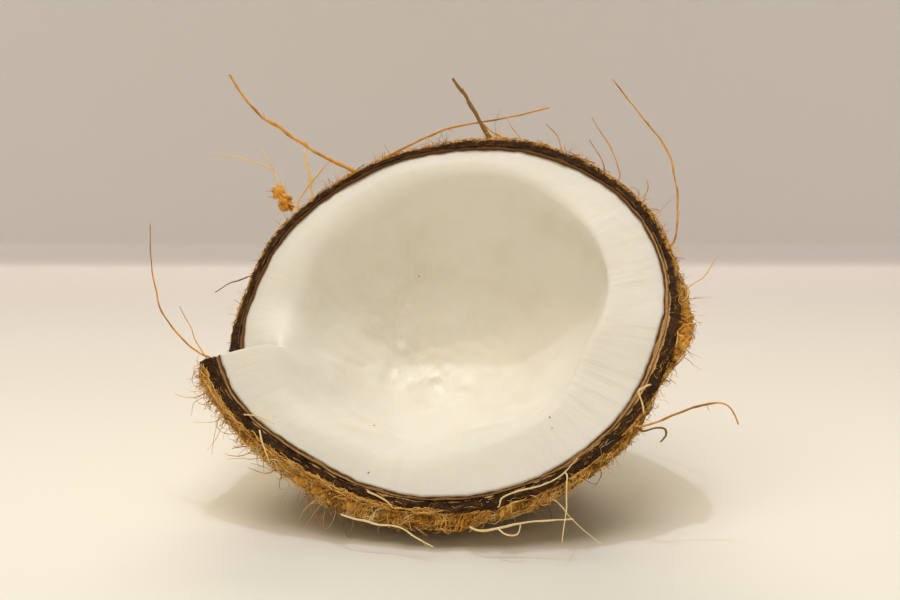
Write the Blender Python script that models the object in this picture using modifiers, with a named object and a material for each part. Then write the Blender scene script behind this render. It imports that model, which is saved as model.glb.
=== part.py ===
"""Coconut half: one broken half of a dehusked coconut, lying tilted on its matted coir.

Units are metres and +Z is up. The origin is the middle of the flat patch that the half rests on,
and the opening faces -Y and upwards.

Every layer is first turned as a plain egg-shaped cup about the nut's own long axis, and one shared
function then gives all layers the same natural irregularity, so they stay nested: ridges, a break
whose height climbs round the rim and drops at one step, thicker and thinner flesh, and a lean.
"""

import math

import bmesh
import bpy
import numpy as np
from mathutils import Matrix, Vector, noise

MM = 0.001

# The nut: half its width and half its length, over the shell, and how far above the mean break its
# widest place would be.
NUT_RADIUS = 58.6 * MM
NUT_HALF_LENGTH = 65.0 * MM
WIDEST_HEIGHT = 17.0 * MM

# Wall, from the outside in.
COIR_THICKNESS = 2.2 * MM
SHELL_THICKNESS = 2.2 * MM
SHELL_EXTRA_BELOW = 2.7 * MM
SHELL_THICKEST_ANGLE = math.radians(290.0)
SKIN_THICKNESS = 0.8 * MM
FLESH_THICKNESS = 12.4 * MM
LAYER_GAP = 0.3 * MM

# Pose on the table: the opening looks this far above level and this far round to the left.
OPENING_RISE = math.radians(43.0)
OPENING_TURN = math.radians(11.0)
RIM_CENTRE = Vector((0.0, -14.0 * MM, 47.7 * MM))

# The broken rim: the angle of its step, counted from the right, and the heights on its two sides.
STEP_ANGLE = math.radians(200.0)
RIM_HIGH = 9.0 * MM
RIM_LOW = -6.0 * MM
RIM_CURL = 0.12
BREAK_REACH = 26.0 * MM

# Ridges along the nut: angle in degrees, width in degrees, and share of the radius.
RIDGES = ((22, 28, 0.055), (199.5, 18, 0.118), (105, 22, -0.035), (268, 50, -0.034))
OVAL = -0.008
LEAN = 0.16

# Thicker and thinner flesh at the rim: angle and width in degrees, and thickness.
FLESH_SWELLS = ((348, 15, 3.2 * MM), (287, 16, 4.0 * MM), (203, 10, 4.2 * MM), (120, 60, -3.6 * MM))
FLESH_SWELL_REACH = 22.0 * MM

# The coir mat: thicker places round it (angle and width in degrees, thickness), and how far its edge
# stays behind the shell's edge on the lower and on the upper side.
COIR_SWELLS = ((2, 9, 3.6 * MM), (215, 25, 2.2 * MM), (262, 22, 1.2 * MM), (328, 16, 1.8 * MM))
COIR_SETBACK_BELOW = 1.2 * MM
COIR_SETBACK_ABOVE = 6.0 * MM
COIR_LUMPS = 0.7 * MM

# The tuft of husk left round the closed end, which props the half up from behind.
TUFT_CENTRE = Vector((2.0 * MM, 18.0 * MM))
TUFT_WIDTH = 17.0 * MM
TUFT_LENGTH = 15.0 * MM
TUFT_DROP = 15.0 * MM

# The lump of husk pith at the upper left, in the opening's axes: half sizes, place and slant.
CRUMB_SIZE = (4.4 * MM, 2.4 * MM, 2.2 * MM)
CRUMB_PLACE = Vector((-52.6 * MM, 35.6 * MM, -7.0 * MM))
CRUMB_SLANT = math.radians(132.0)
CRUMB_BUMPS = 0.55

# Mesh fineness.
COLUMNS = 72
WALL_RINGS = 12
STEP_BUNCHING = 0.8
STEP_BUNCHING_WIDTH = math.radians(25.0)
MERGE_DISTANCE = 0.00001

# Loose coir strands. Each has its radius and the places it runs through, in millimetres from the
# opening's centre: across to the right, up the opening, and out along the opening's axis.
STRANDS = {
    "strand_top_left": (
        0.60,
        (
            (-34.5, 45, -6), (-41, 48, -6), (-47.5, 51.5, -6), (-54.5, 56, -6), (-62.5, 61, -6),
            (-69, 67, -6), (-75, 75, -6),
        ),
    ),
    "strand_top_stub": (0.70, ((2, 57.5, -4), (0, 61.5, -4), (-5, 70, -4), (-9.5, 74.5, -4))),
    "strand_top_blade": (
        0.35,
        (
            (-25.5, 50, -7), (-17.5, 55.5, -7), (-9.5, 60, -7), (4, 63.5, -7), (18, 68, -7),
        ),
    ),
    "strand_top_short": (0.25, ((5.5, 57.5, -5.5), (3, 59, -5.5), (0.5, 61, -5.5))),
    "strand_top_hair": (0.15, ((11, 57, -4.5), (9, 59.5, -4.5), (8, 61, -4.5), (6.5, 63, -4.5))),
    "strand_top_right_fine": (0.15, ((23, 53.5, -4), (21.5, 57.5, -4), (19.5, 59.5, -4), (18, 61, -4))),
    "strand_top_right_bent": (
        0.18,
        (
            (39.5, 46.5, -3.5), (37, 53, -3.5), (33.5, 58, -3.5), (30.5, 63, -3.5),
        ),
    ),
    "strand_top_right_thin": (0.18, ((35, 48.5, -3.5), (32.5, 52.5, -3.5), (30.5, 56, -3.5))),
    "strand_right_arc": (
        0.30,
        (
            (56, 27.5, -3), (56, 33, -3), (55.5, 40, -3), (52.5, 51.5, -3), (46.5, 60.5, -3),
            (35, 75.5, -3),
        ),
    ),
    "strand_right_spike": (0.18, ((47, 38, -3), (47.5, 41, -3), (47, 44, -3))),
    "strand_right_wire": (
        0.18,
        (
            (60.3, 8.5, -1.2), (60.8, 12, -1.2), (64.5, 15.5, -1.2), (67, 21, -1.2),
        ),
    ),
    "strand_right_hook": (
        0.35,
        (
            (54, -28.5, 1.8), (60.5, -25, 1.8), (68, -22, 1.8), (71.5, -21.5, 1.8), (73, -23, 1.8),
            (75, -26, 1.8),
        ),
    ),
    "strand_right_curl": (
        0.30,
        (
            (53, -31, 1.9), (55, -29, 1.9), (57.5, -29, 1.9), (58, -31, 1.9), (57, -33, 1.9),
        ),
    ),
    "strand_left_whip": (
        0.26,
        (
            (-59, -20, 7), (-62, -19, 7), (-67, -15.5, 7), (-73.5, -9, 7), (-77.5, -1.5, 7),
            (-80.5, 7, 7), (-83, 18, 7),
        ),
    ),
    "strand_left_thin": (
        0.15,
        (
            (-60.5, -19.5, 8.2), (-63, -16.5, 8.2), (-65.5, -12, 8.2), (-69.5, -6.5, 8.2),
        ),
    ),
    "strand_left_frond": (0.20, ((-59, 11, -8), (-62.5, 9, -8), (-66.5, 6, -8))),
    "strand_crumb_long": (0.25, ((-55.5, 41.5, -7), (-57.5, 45.5, -7), (-61, 50.5, -7))),
    "strand_crumb_whisker": (0.15, ((-58.5, 45, -6.2), (-65.5, 47, -6.2), (-75, 48.5, -6.2))),
    "strand_crossed_upright": (0.30, ((-44.5, 37.5, -6.5), (-46, 43, -6.5), (-49, 51, -6.5))),
    "strand_crossed_slanting": (0.26, ((-48, 36.5, -8.2), (-45, 43, -8.2), (-41.5, 49, -8.2))),
    "strand_below_light": (
        0.30,
        (
            (-16, -59.5, 5.3), (-9, -61, 5.3), (-4, -61, 5.3), (1, -63.5, 5.3), (5.5, -65.5, 5.3),
        ),
    ),
    "strand_below_branch": (0.40, ((17.5, -59.5, 3.2), (22, -58, 3.2), (31, -56, 3.2), (38, -55, 3.2))),
    "strand_below_loop": (
        0.28,
        (
            (20, -59, 4.5), (22.5, -60.5, 4.5), (25, -60.5, 4.5), (25.5, -58.5, 4.5),
        ),
    ),
    "strand_below_upright": (0.25, ((35.5, -45.5, 4.3), (36, -52.5, 4.3), (36, -61.5, 4.3))),
    "strand_below_right": (0.25, ((34.5, -50.5, -1), (39, -55, -1), (45, -59.5, -1))),
    "strand_over_edge": (
        0.22,
        (
            (20, -53, 3.9), (20.5, -51, 3.9), (24.5, -49, 3.9), (30, -47, 3.8), (33.5, -44.5, 3.8),
            (37.5, -39.5, 3.8),
        ),
    ),
    "strand_over_skin": (0.20, ((-12.5, -52.5, 4.4), (-8.5, -54, 4.4), (-6, -56, 4.4))),
    "strand_right_pale": (
        0.28,
        (
            (51.5, -20, 3.5), (50.5, -21, 3.5), (52, -24, 3.5), (52.5, -26.5, 3.5),
        ),
    ),
    "strand_lower_left_a": (0.24, ((-46.5, -35.5, 7.7), (-42.5, -36, 7.8), (-38.5, -37.5, 7.5))),
    "strand_lower_left_b": (0.24, ((-42, -39.5, 7.3), (-40.5, -43, 7.3), (-38, -47.5, 7.3))),
}
STRAND_SIDES = 6
STRAND_STEP = 3.0 * MM
STRAND_TAPER = 0.45

# Colours (linear red, green, blue) and roughness.
FLESH_COLOUR = (0.86, 0.83, 0.74)
SKIN_COLOUR = (0.42, 0.22, 0.08)
SHELL_COLOUR = (0.045, 0.024, 0.013)
COIR_COLOUR = (0.36, 0.20, 0.07)
STRAND_COLOUR = (0.48, 0.30, 0.13)
CRUMB_COLOUR = (0.42, 0.16, 0.02)


def material(name, colour, roughness):
    made = bpy.data.materials.new(name)
    made.use_nodes = True
    shader = made.node_tree.nodes["Principled BSDF"]
    shader.inputs["Base Color"].default_value = (*colour, 1.0)
    shader.inputs["Roughness"].default_value = roughness
    shader.inputs["Metallic"].default_value = 0.0
    return made


def clear_scene():
    for item in list(bpy.data.objects):
        bpy.data.objects.remove(item)


def swell(angle, places):
    """The sum of smooth bumps round the rim at an angle in radians."""
    total = np.zeros_like(angle)
    for centre, width, amount in places:
        apart = (np.degrees(angle) - centre + 180.0) % 360.0 - 180.0
        total = total + amount * np.exp(-0.5 * (apart / width) ** 2)
    return total


def smooth_ramp(value, low, high):
    share = np.clip((value - low) / (high - low), 0.0, 1.0)
    return share * share * (3.0 - 2.0 * share)


def layer_offset(radius, height):
    """How far outside the shell's outer surface a point lies, negative when it is inside."""
    low = np.full_like(radius, -38.0 * MM)
    high = np.full_like(radius, 30.0 * MM)
    for _ in range(40):
        middle = 0.5 * (low + high)
        across = radius / (NUT_RADIUS + middle)
        along = (height - WIDEST_HEIGHT) / (NUT_HALF_LENGTH + middle)
        outside = across * across + along * along > 1.0
        low = np.where(outside, middle, low)
        high = np.where(outside, high, middle)
    return 0.5 * (low + high)


def egg_radius(offset, height):
    along = (height - WIDEST_HEIGHT) / (NUT_HALF_LENGTH + offset)
    return (NUT_RADIUS + offset) * np.sqrt(np.clip(1.0 - along * along, 0.0, 1.0))


def rim_height(angle):
    """Height of the break: highest just past the step, then falling all the way round to it."""
    turned = ((angle - STEP_ANGLE) / math.tau) % 1.0
    bend = 0.5 * RIM_HIGH
    fall = RIM_HIGH - bend - RIM_LOW
    wobble = 0.35 * MM * np.sin(5.0 * angle + 1.0) + 0.25 * MM * np.sin(9.0 * angle + 2.0)
    return bend * (1.0 + np.exp(-turned / RIM_CURL)) - fall * turned + wobble


def bunched(angle):
    """Moves the columns of the turned cup closer together at the step."""
    apart = (angle - STEP_ANGLE + math.pi) % math.tau - math.pi
    near = np.exp(-((apart / STEP_BUNCHING_WIDTH) ** 2))
    return STEP_ANGLE + apart * (1.0 - STEP_BUNCHING * near)


def nut_to_world():
    """From the opening's own axes to the table's."""
    tilt = Matrix.Rotation(math.pi / 2 - OPENING_RISE, 4, "X")
    turn = Matrix.Rotation(-OPENING_TURN, 4, "Z")
    return Matrix.Translation(RIM_CENTRE) @ turn @ tilt


def natural(points, setback=None):
    """Gives turned points the nut's natural shape, still in the opening's axes.

    Returns the points and, for each, its angle and its offset from the shell's outer surface.
    """
    radius = np.hypot(points[:, 0], points[:, 1])
    height = points[:, 2]
    angle = bunched(np.arctan2(points[:, 1], points[:, 0]))
    offset = layer_offset(radius, height)
    rim = rim_height(angle)
    if setback is not None:
        rim = rim - setback(angle)
    height = height + rim * smooth_ramp(height, -BREAK_REACH, 0.0)
    near_rim = smooth_ramp(height, -FLESH_SWELL_REACH, 0.0)

    inside = SHELL_THICKNESS + 2 * LAYER_GAP + SKIN_THICKNESS
    into_flesh = np.clip((-offset - inside) / (0.6 * FLESH_THICKNESS), 0.0, 1.0)
    offset = offset - swell(angle, FLESH_SWELLS) * into_flesh * near_rim
    across_shell = np.clip(1.0 + offset / SHELL_THICKNESS, 0.0, 1.0)
    lower_side = 0.5 + 0.5 * np.cos(angle - SHELL_THICKEST_ANGLE)
    spread = smooth_ramp(-height, -50.0 * MM, 60.0 * MM)
    thicker_shell = SHELL_EXTRA_BELOW * lower_side * across_shell * (1.0 - spread)

    base = egg_radius(offset, height)
    closed_end = egg_radius(np.zeros_like(height), height) / NUT_RADIUS
    shape = 1.0 + closed_end * (swell(angle, RIDGES) + OVAL)
    radius = base * shape + thicker_shell * closed_end
    placed = np.column_stack(
        (radius * np.cos(angle), radius * np.sin(angle) - LEAN * np.minimum(height, 0.0), height)
    )
    return placed, angle, offset


def egg_profile(offset, rings, top=0.0):
    """Points up one side of the turned egg, from the closed end to the rim."""
    last = math.acos((WIDEST_HEIGHT - top) / (NUT_HALF_LENGTH + offset))
    places = []
    for ring in range(rings + 1):
        along = last * ring / rings
        places.append(
            (
                (NUT_RADIUS + offset) * math.sin(along),
                WIDEST_HEIGHT - (NUT_HALF_LENGTH + offset) * math.cos(along),
            )
        )
    places[0] = (0.0, places[0][1])
    return places


def turned_cup(name, outer_offset, inner_offset, face_points):
    """A closed cup between two offsets, turned with a Screw about the nut's long axis."""
    outer = egg_profile(outer_offset, WALL_RINGS)
    inner = egg_profile(inner_offset, WALL_RINGS)
    edge = []
    for step in range(1, face_points + 1):
        share = step / (face_points + 1)
        edge.append(tuple(a + (b - a) * share for a, b in zip(outer[-1], inner[-1])))
    profile = inner + edge[::-1] + outer[::-1]
    mesh = bpy.data.meshes.new(name + "_profile")
    corners = [(radius, 0.0, height) for radius, height in profile]
    mesh.from_pydata(corners, [(i, i + 1) for i in range(len(corners) - 1)], [])
    drawn = bpy.data.objects.new(name + "_profile", mesh)
    bpy.context.scene.collection.objects.link(drawn)
    screw = drawn.modifiers.new("Turn", "SCREW")
    screw.axis = "Z"
    screw.steps = COLUMNS
    screw.render_steps = COLUMNS
    screw.use_merge_vertices = True
    screw.merge_threshold = MERGE_DISTANCE
    bpy.context.view_layer.update()
    seen = drawn.evaluated_get(bpy.context.evaluated_depsgraph_get())
    turned = bpy.data.meshes.new_from_object(seen)
    bpy.data.objects.remove(drawn)
    turned.name = name
    return turned


def read_points(mesh):
    flat = np.empty(len(mesh.vertices) * 3)
    mesh.vertices.foreach_get("co", flat)
    return flat.reshape(-1, 3)


def write_points(mesh, points):
    mesh.vertices.foreach_set("co", points.ravel())
    mesh.update()


def half_column_turn(points):
    """Turns the cup so that the step falls midway between two columns."""
    aim = STEP_ANGLE - math.pi / COLUMNS
    column = math.tau / COLUMNS
    turn = aim - column * round(aim / column)
    cos, sin = math.cos(turn), math.sin(turn)
    x = points[:, 0] * cos - points[:, 1] * sin
    y = points[:, 0] * sin + points[:, 1] * cos
    return np.column_stack((x, y, points[:, 2]))


def to_world(points):
    matrix = np.array(nut_to_world())
    return points @ matrix[:3, :3].T + matrix[:3, 3]


def finished(name, mesh, paint, group):
    """Welds and turns the faces outwards, and puts the mesh in the model."""
    working = bmesh.new()
    working.from_mesh(mesh)
    bmesh.ops.remove_doubles(working, verts=working.verts, dist=MERGE_DISTANCE)
    bmesh.ops.recalc_face_normals(working, faces=working.faces)
    working.to_mesh(mesh)
    working.free()
    mesh.materials.clear()
    mesh.materials.append(paint)
    mesh.shade_smooth()
    mesh.set_sharp_from_angle(angle=math.radians(35.0))
    made = bpy.data.objects.new(name, mesh)
    group.objects.link(made)
    return made


def layer(name, outer_offset, inner_offset, face_points, paint, group):
    mesh = turned_cup(name, outer_offset, inner_offset, face_points)
    placed, _, _ = natural(half_column_turn(read_points(mesh)))
    write_points(mesh, to_world(placed))
    return finished(name, mesh, paint, group)


def make_flesh(group):
    outside = -(SHELL_THICKNESS + SKIN_THICKNESS + 2 * LAYER_GAP)
    paint = material("flesh", FLESH_COLOUR, 0.45)
    return layer("flesh", outside, outside - FLESH_THICKNESS, 2, paint, group)


def make_brown_skin(group):
    outside = -(SHELL_THICKNESS + LAYER_GAP)
    paint = material("brown_skin", SKIN_COLOUR, 0.8)
    return layer("brown_skin", outside, outside - SKIN_THICKNESS, 0, paint, group)


def make_shell(group):
    paint = material("shell", SHELL_COLOUR, 0.6)
    return layer("shell", 0.0, -SHELL_THICKNESS, 1, paint, group)


def coir_setback(angle):
    upper = smooth_ramp(np.sin(angle), -0.3, 0.7)
    return COIR_SETBACK_BELOW + (COIR_SETBACK_ABOVE - COIR_SETBACK_BELOW) * upper


def lumps(angle, height):
    """Uneven matting: a few waves of unlike length, never the same twice round the nut."""
    waves = np.sin(7.0 * angle + 60.0 * height) + np.sin(13.0 * angle - 150.0 * height + 1.3)
    return (waves + np.sin(230.0 * height + 3.0 * angle)) / 3.0


def make_coir_mat(group):
    mesh = turned_cup("coir_mat", LAYER_GAP + COIR_THICKNESS, LAYER_GAP, 1)
    turned = half_column_turn(read_points(mesh))
    placed, angle, offset = natural(turned, coir_setback)
    outward = np.clip((offset - LAYER_GAP) / COIR_THICKNESS, 0.0, 1.0)
    height = placed[:, 2]
    near_rim = smooth_ramp(height, -34.0 * MM, -4.0 * MM)
    from_pole = np.clip(np.hypot(placed[:, 0], placed[:, 1]) / NUT_RADIUS, 0.0, 1.0)
    extra = swell(angle, COIR_SWELLS) * near_rim + COIR_LUMPS * from_pole * lumps(angle, height)
    centre = np.array((0.0, 0.0, WIDEST_HEIGHT))
    away = placed - centre
    away = away / np.linalg.norm(away, axis=1, keepdims=True)
    placed = placed + away * (extra * outward)[:, None]

    world = to_world(placed)
    from_tuft = (world[:, 0] - TUFT_CENTRE.x) ** 2 / TUFT_WIDTH**2
    from_tuft = from_tuft + (world[:, 1] - TUFT_CENTRE.y) ** 2 / TUFT_LENGTH**2
    underside = smooth_ramp(-world[:, 2], -34.0 * MM, -16.0 * MM)
    world[:, 2] = world[:, 2] - TUFT_DROP * np.exp(-from_tuft) * underside * outward
    write_points(mesh, world)
    rest_flat(mesh)
    return finished("coir_mat", mesh, material("coir", COIR_COLOUR, 0.9), group)


def rest_flat(mesh):
    """Cuts the mesh off level with the table and closes it with one flat face."""
    working = bmesh.new()
    working.from_mesh(mesh)
    bmesh.ops.remove_doubles(working, verts=working.verts, dist=MERGE_DISTANCE)
    everything = working.verts[:] + working.edges[:] + working.faces[:]
    bmesh.ops.bisect_plane(
        working,
        geom=everything,
        dist=MERGE_DISTANCE,
        plane_co=(0.0, 0.0, 0.0),
        plane_no=(0.0, 0.0, 1.0),
        clear_inner=True,
    )
    open_edges = [edge for edge in working.edges if edge.is_boundary]
    bmesh.ops.holes_fill(working, edges=open_edges, sides=0)
    working.to_mesh(mesh)
    working.free()


def make_husk_crumb(group):
    """A lump of husk pith, a ball drawn out towards the nut and pulled out of round."""
    working = bmesh.new()
    bmesh.ops.create_icosphere(working, subdivisions=3, radius=1.0)
    for corner in working.verts:
        bumps = 1.0 + CRUMB_BUMPS * noise.noise(corner.co * 1.7)
        corner.co = Vector([size * bumps * along for size, along in zip(CRUMB_SIZE, corner.co)])
    aim = Matrix.Rotation(CRUMB_SLANT, 4, "Z")
    place = nut_to_world() @ Matrix.Translation(CRUMB_PLACE) @ aim
    bmesh.ops.transform(working, matrix=place, verts=working.verts)
    mesh = bpy.data.meshes.new("husk_crumb")
    working.to_mesh(mesh)
    working.free()
    return finished("husk_crumb", mesh, material("husk_crumb", CRUMB_COLOUR, 0.95), group)


def smooth_route(places):
    """Evenly spaced points on a smooth curve through the places, first and last included."""
    ends = [2 * places[0] - places[1], *places, 2 * places[-1] - places[-2]]
    dense = []
    for before, start, end, after in zip(ends, ends[1:], ends[2:], ends[3:]):
        for step in range(24):
            t = step / 24
            dense.append(
                0.5
                * (
                    2 * start
                    + (end - before) * t
                    + (2 * before - 5 * start + 4 * end - after) * t**2
                    + (3 * start - before - 3 * end + after) * t**3
                )
            )
    dense.append(places[-1])
    length = sum((b - a).length for a, b in zip(dense, dense[1:]))
    count = max(4, round(length / STRAND_STEP))
    spaced = [dense[0]]
    walked = 0.0
    for a, b in zip(dense, dense[1:]):
        walked += (b - a).length
        while len(spaced) < count and walked >= len(spaced) * length / count:
            spaced.append(b)
    spaced.append(dense[-1])
    return spaced


def make_strand(name, radius, places, paint, group):
    """One coir fibre: a bevelled curve that thins towards its free end."""
    matrix = nut_to_world()
    route = smooth_route([matrix @ (Vector(place) * MM) for place in places])
    curve = bpy.data.curves.new(name, "CURVE")
    curve.dimensions = "3D"
    curve.bevel_depth = radius * MM
    curve.bevel_resolution = STRAND_SIDES // 2 - 2
    curve.use_fill_caps = True
    spline = curve.splines.new("POLY")
    spline.points.add(len(route) - 1)
    for index, (point, place) in enumerate(zip(spline.points, route)):
        point.co = (*place, 1.0)
        point.radius = 1.0 - STRAND_TAPER * (index / (len(route) - 1)) ** 2
    curve.materials.append(paint)
    made = bpy.data.objects.new(name, curve)
    group.objects.link(made)
    return made


def main():
    clear_scene()
    group = bpy.data.collections.new("coconut_half")
    bpy.context.scene.collection.children.link(group)
    make_flesh(group)
    make_brown_skin(group)
    make_shell(group)
    make_coir_mat(group)
    make_husk_crumb(group)
    paint = material("coir_strand", STRAND_COLOUR, 0.8)
    for name, (radius, places) in STRANDS.items():
        make_strand(name, radius, places, paint, group)


main()
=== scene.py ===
"""Coconut half: the looks of one broken half of a dehusked coconut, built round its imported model."""

import math

import bmesh
import bpy
import numpy as np
from mathutils import Matrix, Vector


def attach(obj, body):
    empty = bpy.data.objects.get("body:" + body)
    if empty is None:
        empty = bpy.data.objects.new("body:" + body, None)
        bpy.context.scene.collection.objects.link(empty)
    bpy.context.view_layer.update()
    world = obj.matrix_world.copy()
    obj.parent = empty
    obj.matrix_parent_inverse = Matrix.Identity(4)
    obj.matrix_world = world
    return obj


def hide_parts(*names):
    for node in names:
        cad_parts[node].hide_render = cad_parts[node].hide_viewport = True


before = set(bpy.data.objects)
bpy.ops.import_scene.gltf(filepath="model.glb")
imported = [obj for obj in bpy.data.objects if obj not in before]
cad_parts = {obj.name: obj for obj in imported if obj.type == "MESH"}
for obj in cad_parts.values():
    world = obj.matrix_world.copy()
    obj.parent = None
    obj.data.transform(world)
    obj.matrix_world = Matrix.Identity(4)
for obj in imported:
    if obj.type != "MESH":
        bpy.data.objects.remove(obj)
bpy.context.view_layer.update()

bl_info = {
    "name": "Coconut Half",
    "version": (1, 0, 0),
    "blender": (4, 5, 0),
    "location": "View3D > Sidebar > Coconut",
    "description": "Builds the flesh, skin, shell, coir and loose strands of half a coconut",
    "category": "Add Mesh",
}

MM = 0.001

# The nut's own shape. Heights are counted along its axis from the middle of the break, and offsets
# outwards from the shell's outer surface. Every list of swells gives, for each one, the angle and the
# width in degrees round the axis and then the amount. Every list of bumps gives, for each kind, how
# high they are, how far across and the seed they grow from.
WIDEST_HEIGHT = 17.0 * MM
OPENING_RISE = math.radians(43.0)
OPENING_TURN = math.radians(11.0)
RIM_CENTRE = Vector((0.0, -14.0 * MM, 47.7 * MM))
OVAL = -0.008
LEAN = 0.16
RIDGES = ((22, 28, 0.055), (199.5, 18, 0.118), (105, 22, -0.035), (268, 50, -0.034), (163, 12, 0.02))

# The break: highest just past the step and lowest just before it.
STEP_ANGLE = math.radians(200.0)
STEP_WIDTH = math.radians(1.6)
RIM_HIGH = 9.0 * MM
RIM_LOW = -6.0 * MM
RIM_CURL = 0.12
BREAK_REACH = 26.0 * MM
# Waves round the break: how high, how many round the nut, and where they start.
RIM_WAVES = ((0.35 * MM, 5.0, 1.0), (0.25 * MM, 9.0, 2.0))

# The shell: thinnest above, thickest below, chipped on its broken face and rough on its outer edge.
LAYER_GAP = 0.3 * MM
THIN_SHELL = 0.55 * MM
THINNEST_SHELL = (
    (150, 30, 0.75 * MM), (45, 35, 0.3 * MM), (300, 30, 0.35 * MM), (79, 12, -1.0 * MM),
    (352, 9, -0.8 * MM), (201, 7, -1.4 * MM), (240, 12, -0.5 * MM), (181, 11, 0.9 * MM),
)
SHELL_EXTRA_BELOW = 2.7 * MM
SHELL_THICKEST_ANGLE = math.radians(290.0)
CHIP_BUMPS = ((0.5 * MM, 5.0 * MM, 21), (0.35 * MM, 1.6 * MM, 22), (0.2 * MM, 0.8 * MM, 23))
ROUGH_BUMPS = ((0.25 * MM, 3.0 * MM, 25), (0.12 * MM, 1.0 * MM, 26))
# The plain tube that patterns following the nut's outside are wrapped on.
PATTERN_RADIUS = 58.0 * MM

# The coir: how far its edge stands back from the break, how uneven it is, and the tuft it rests on.
COIR_SETBACK_BELOW = 1.2 * MM
COIR_SETBACK_ABOVE = 6.0 * MM
COIR_SETBACK_MORE = ((150, 35, 4.0 * MM), (15, 7, 2.0 * MM))
COIR_RAGS = ((0.8 * MM, 17.0, 0.0), (0.7 * MM, 41.0, 2.0))
COIR_SWELLS = ((2, 8, 3.0 * MM), (212, 22, -1.2 * MM), (255, 20, 1.0 * MM), (342, 9, -1.6 * MM))
COIR_LUMPS = 0.7 * MM
MAT_SHARE = 0.6
MAT_BUMPS = ((0.6, 4.5 * MM, 31), (0.4, 1.8 * MM, 32))
TUFT_CENTRE = Vector((2.0 * MM, 18.0 * MM))
TUFT_WIDTH = 17.0 * MM
TUFT_LENGTH = 15.0 * MM
TUFT_DROP = 15.0 * MM

# The flesh: swollen inwards in places, wavy where it meets the skin, soft round its inner edge and
# filled up before the step.
FLESH_SWELLS = ((348, 15, 3.2 * MM), (287, 16, 4.0 * MM), (203, 10, 4.2 * MM), (120, 60, -3.6 * MM))
FLESH_SWELL_REACH = 22.0 * MM
SEAM_WAVES = 0.22 * MM
SEAM_REACH = 1.2 * MM
SEAM_BUMPS = ((1.0, 3.5 * MM, 71), (0.6, 1.5 * MM, 72))
SHARP_EDGE = 0.8 * MM
SOFT_EDGES = ((150, 42, 7.0 * MM), (90, 30, 3.5 * MM), (225, 30, 6.0 * MM), (278, 22, 6.0 * MM))
FILL_ANGLE = math.radians(13.0)
FACE_CROWN = 1.2 * MM
FACE_BUMPS = ((0.3 * MM, 11.0 * MM, 3),)
STREAK_BUMPS = ((0.07 * MM, 2.2 * MM, 4),)
STREAK_RADIUS = 50.0 * MM
STREAKY = ((2, 28, 1.0), (315, 22, 0.5), (215, 25, 0.4), (262, 14, 0.3))
# Its hollow has a torn, wet patch, a dimple and a few brown specks.
HOLLOW_BUMPS = ((1.6 * MM, 16.0 * MM, 5), (0.4 * MM, 6.5 * MM, 6))
TORN_BUMPS = ((0.6 * MM, 6.0 * MM, 9), (0.7 * MM, 2.4 * MM, 10))
TORN_PLACE = (-14.0 * MM, 2.0 * MM)
TORN_REACH = (22.0 * MM, 23.0 * MM)
DIMPLE_PLACE = (4.7 * MM, 9.7 * MM)
DIMPLE_REACH = 6.0 * MM
DIMPLE_DEPTH = 1.4 * MM
SPECK_PLACES = ((29.3, -27.9, 1.6), (-14.9, 22.1, -23.2), (-17.5, -28.1, -11.1), (-13.2, -47.2, 3.9))

# Fineness of the spun layers: their columns stand closest together at the step.
COLUMNS = 360
ROW_CROWDING = 1.3
STEP_BUNCHING = 0.935
STEP_BUNCHING_WIDTH = math.radians(20.0)
MERGE_DISTANCE = 0.000001

# The lump of husk pith.
CRUMB_SIZE = (4.4 * MM, 2.4 * MM, 2.2 * MM)
CRUMB_PLACE = Vector((-52.6 * MM, 35.6 * MM, -7.0 * MM))
CRUMB_SLANT = math.radians(132.0)


def level(out, *places):
    """Places that all lie the same distance out of the opening."""
    return tuple((*place, out) for place in places)


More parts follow.
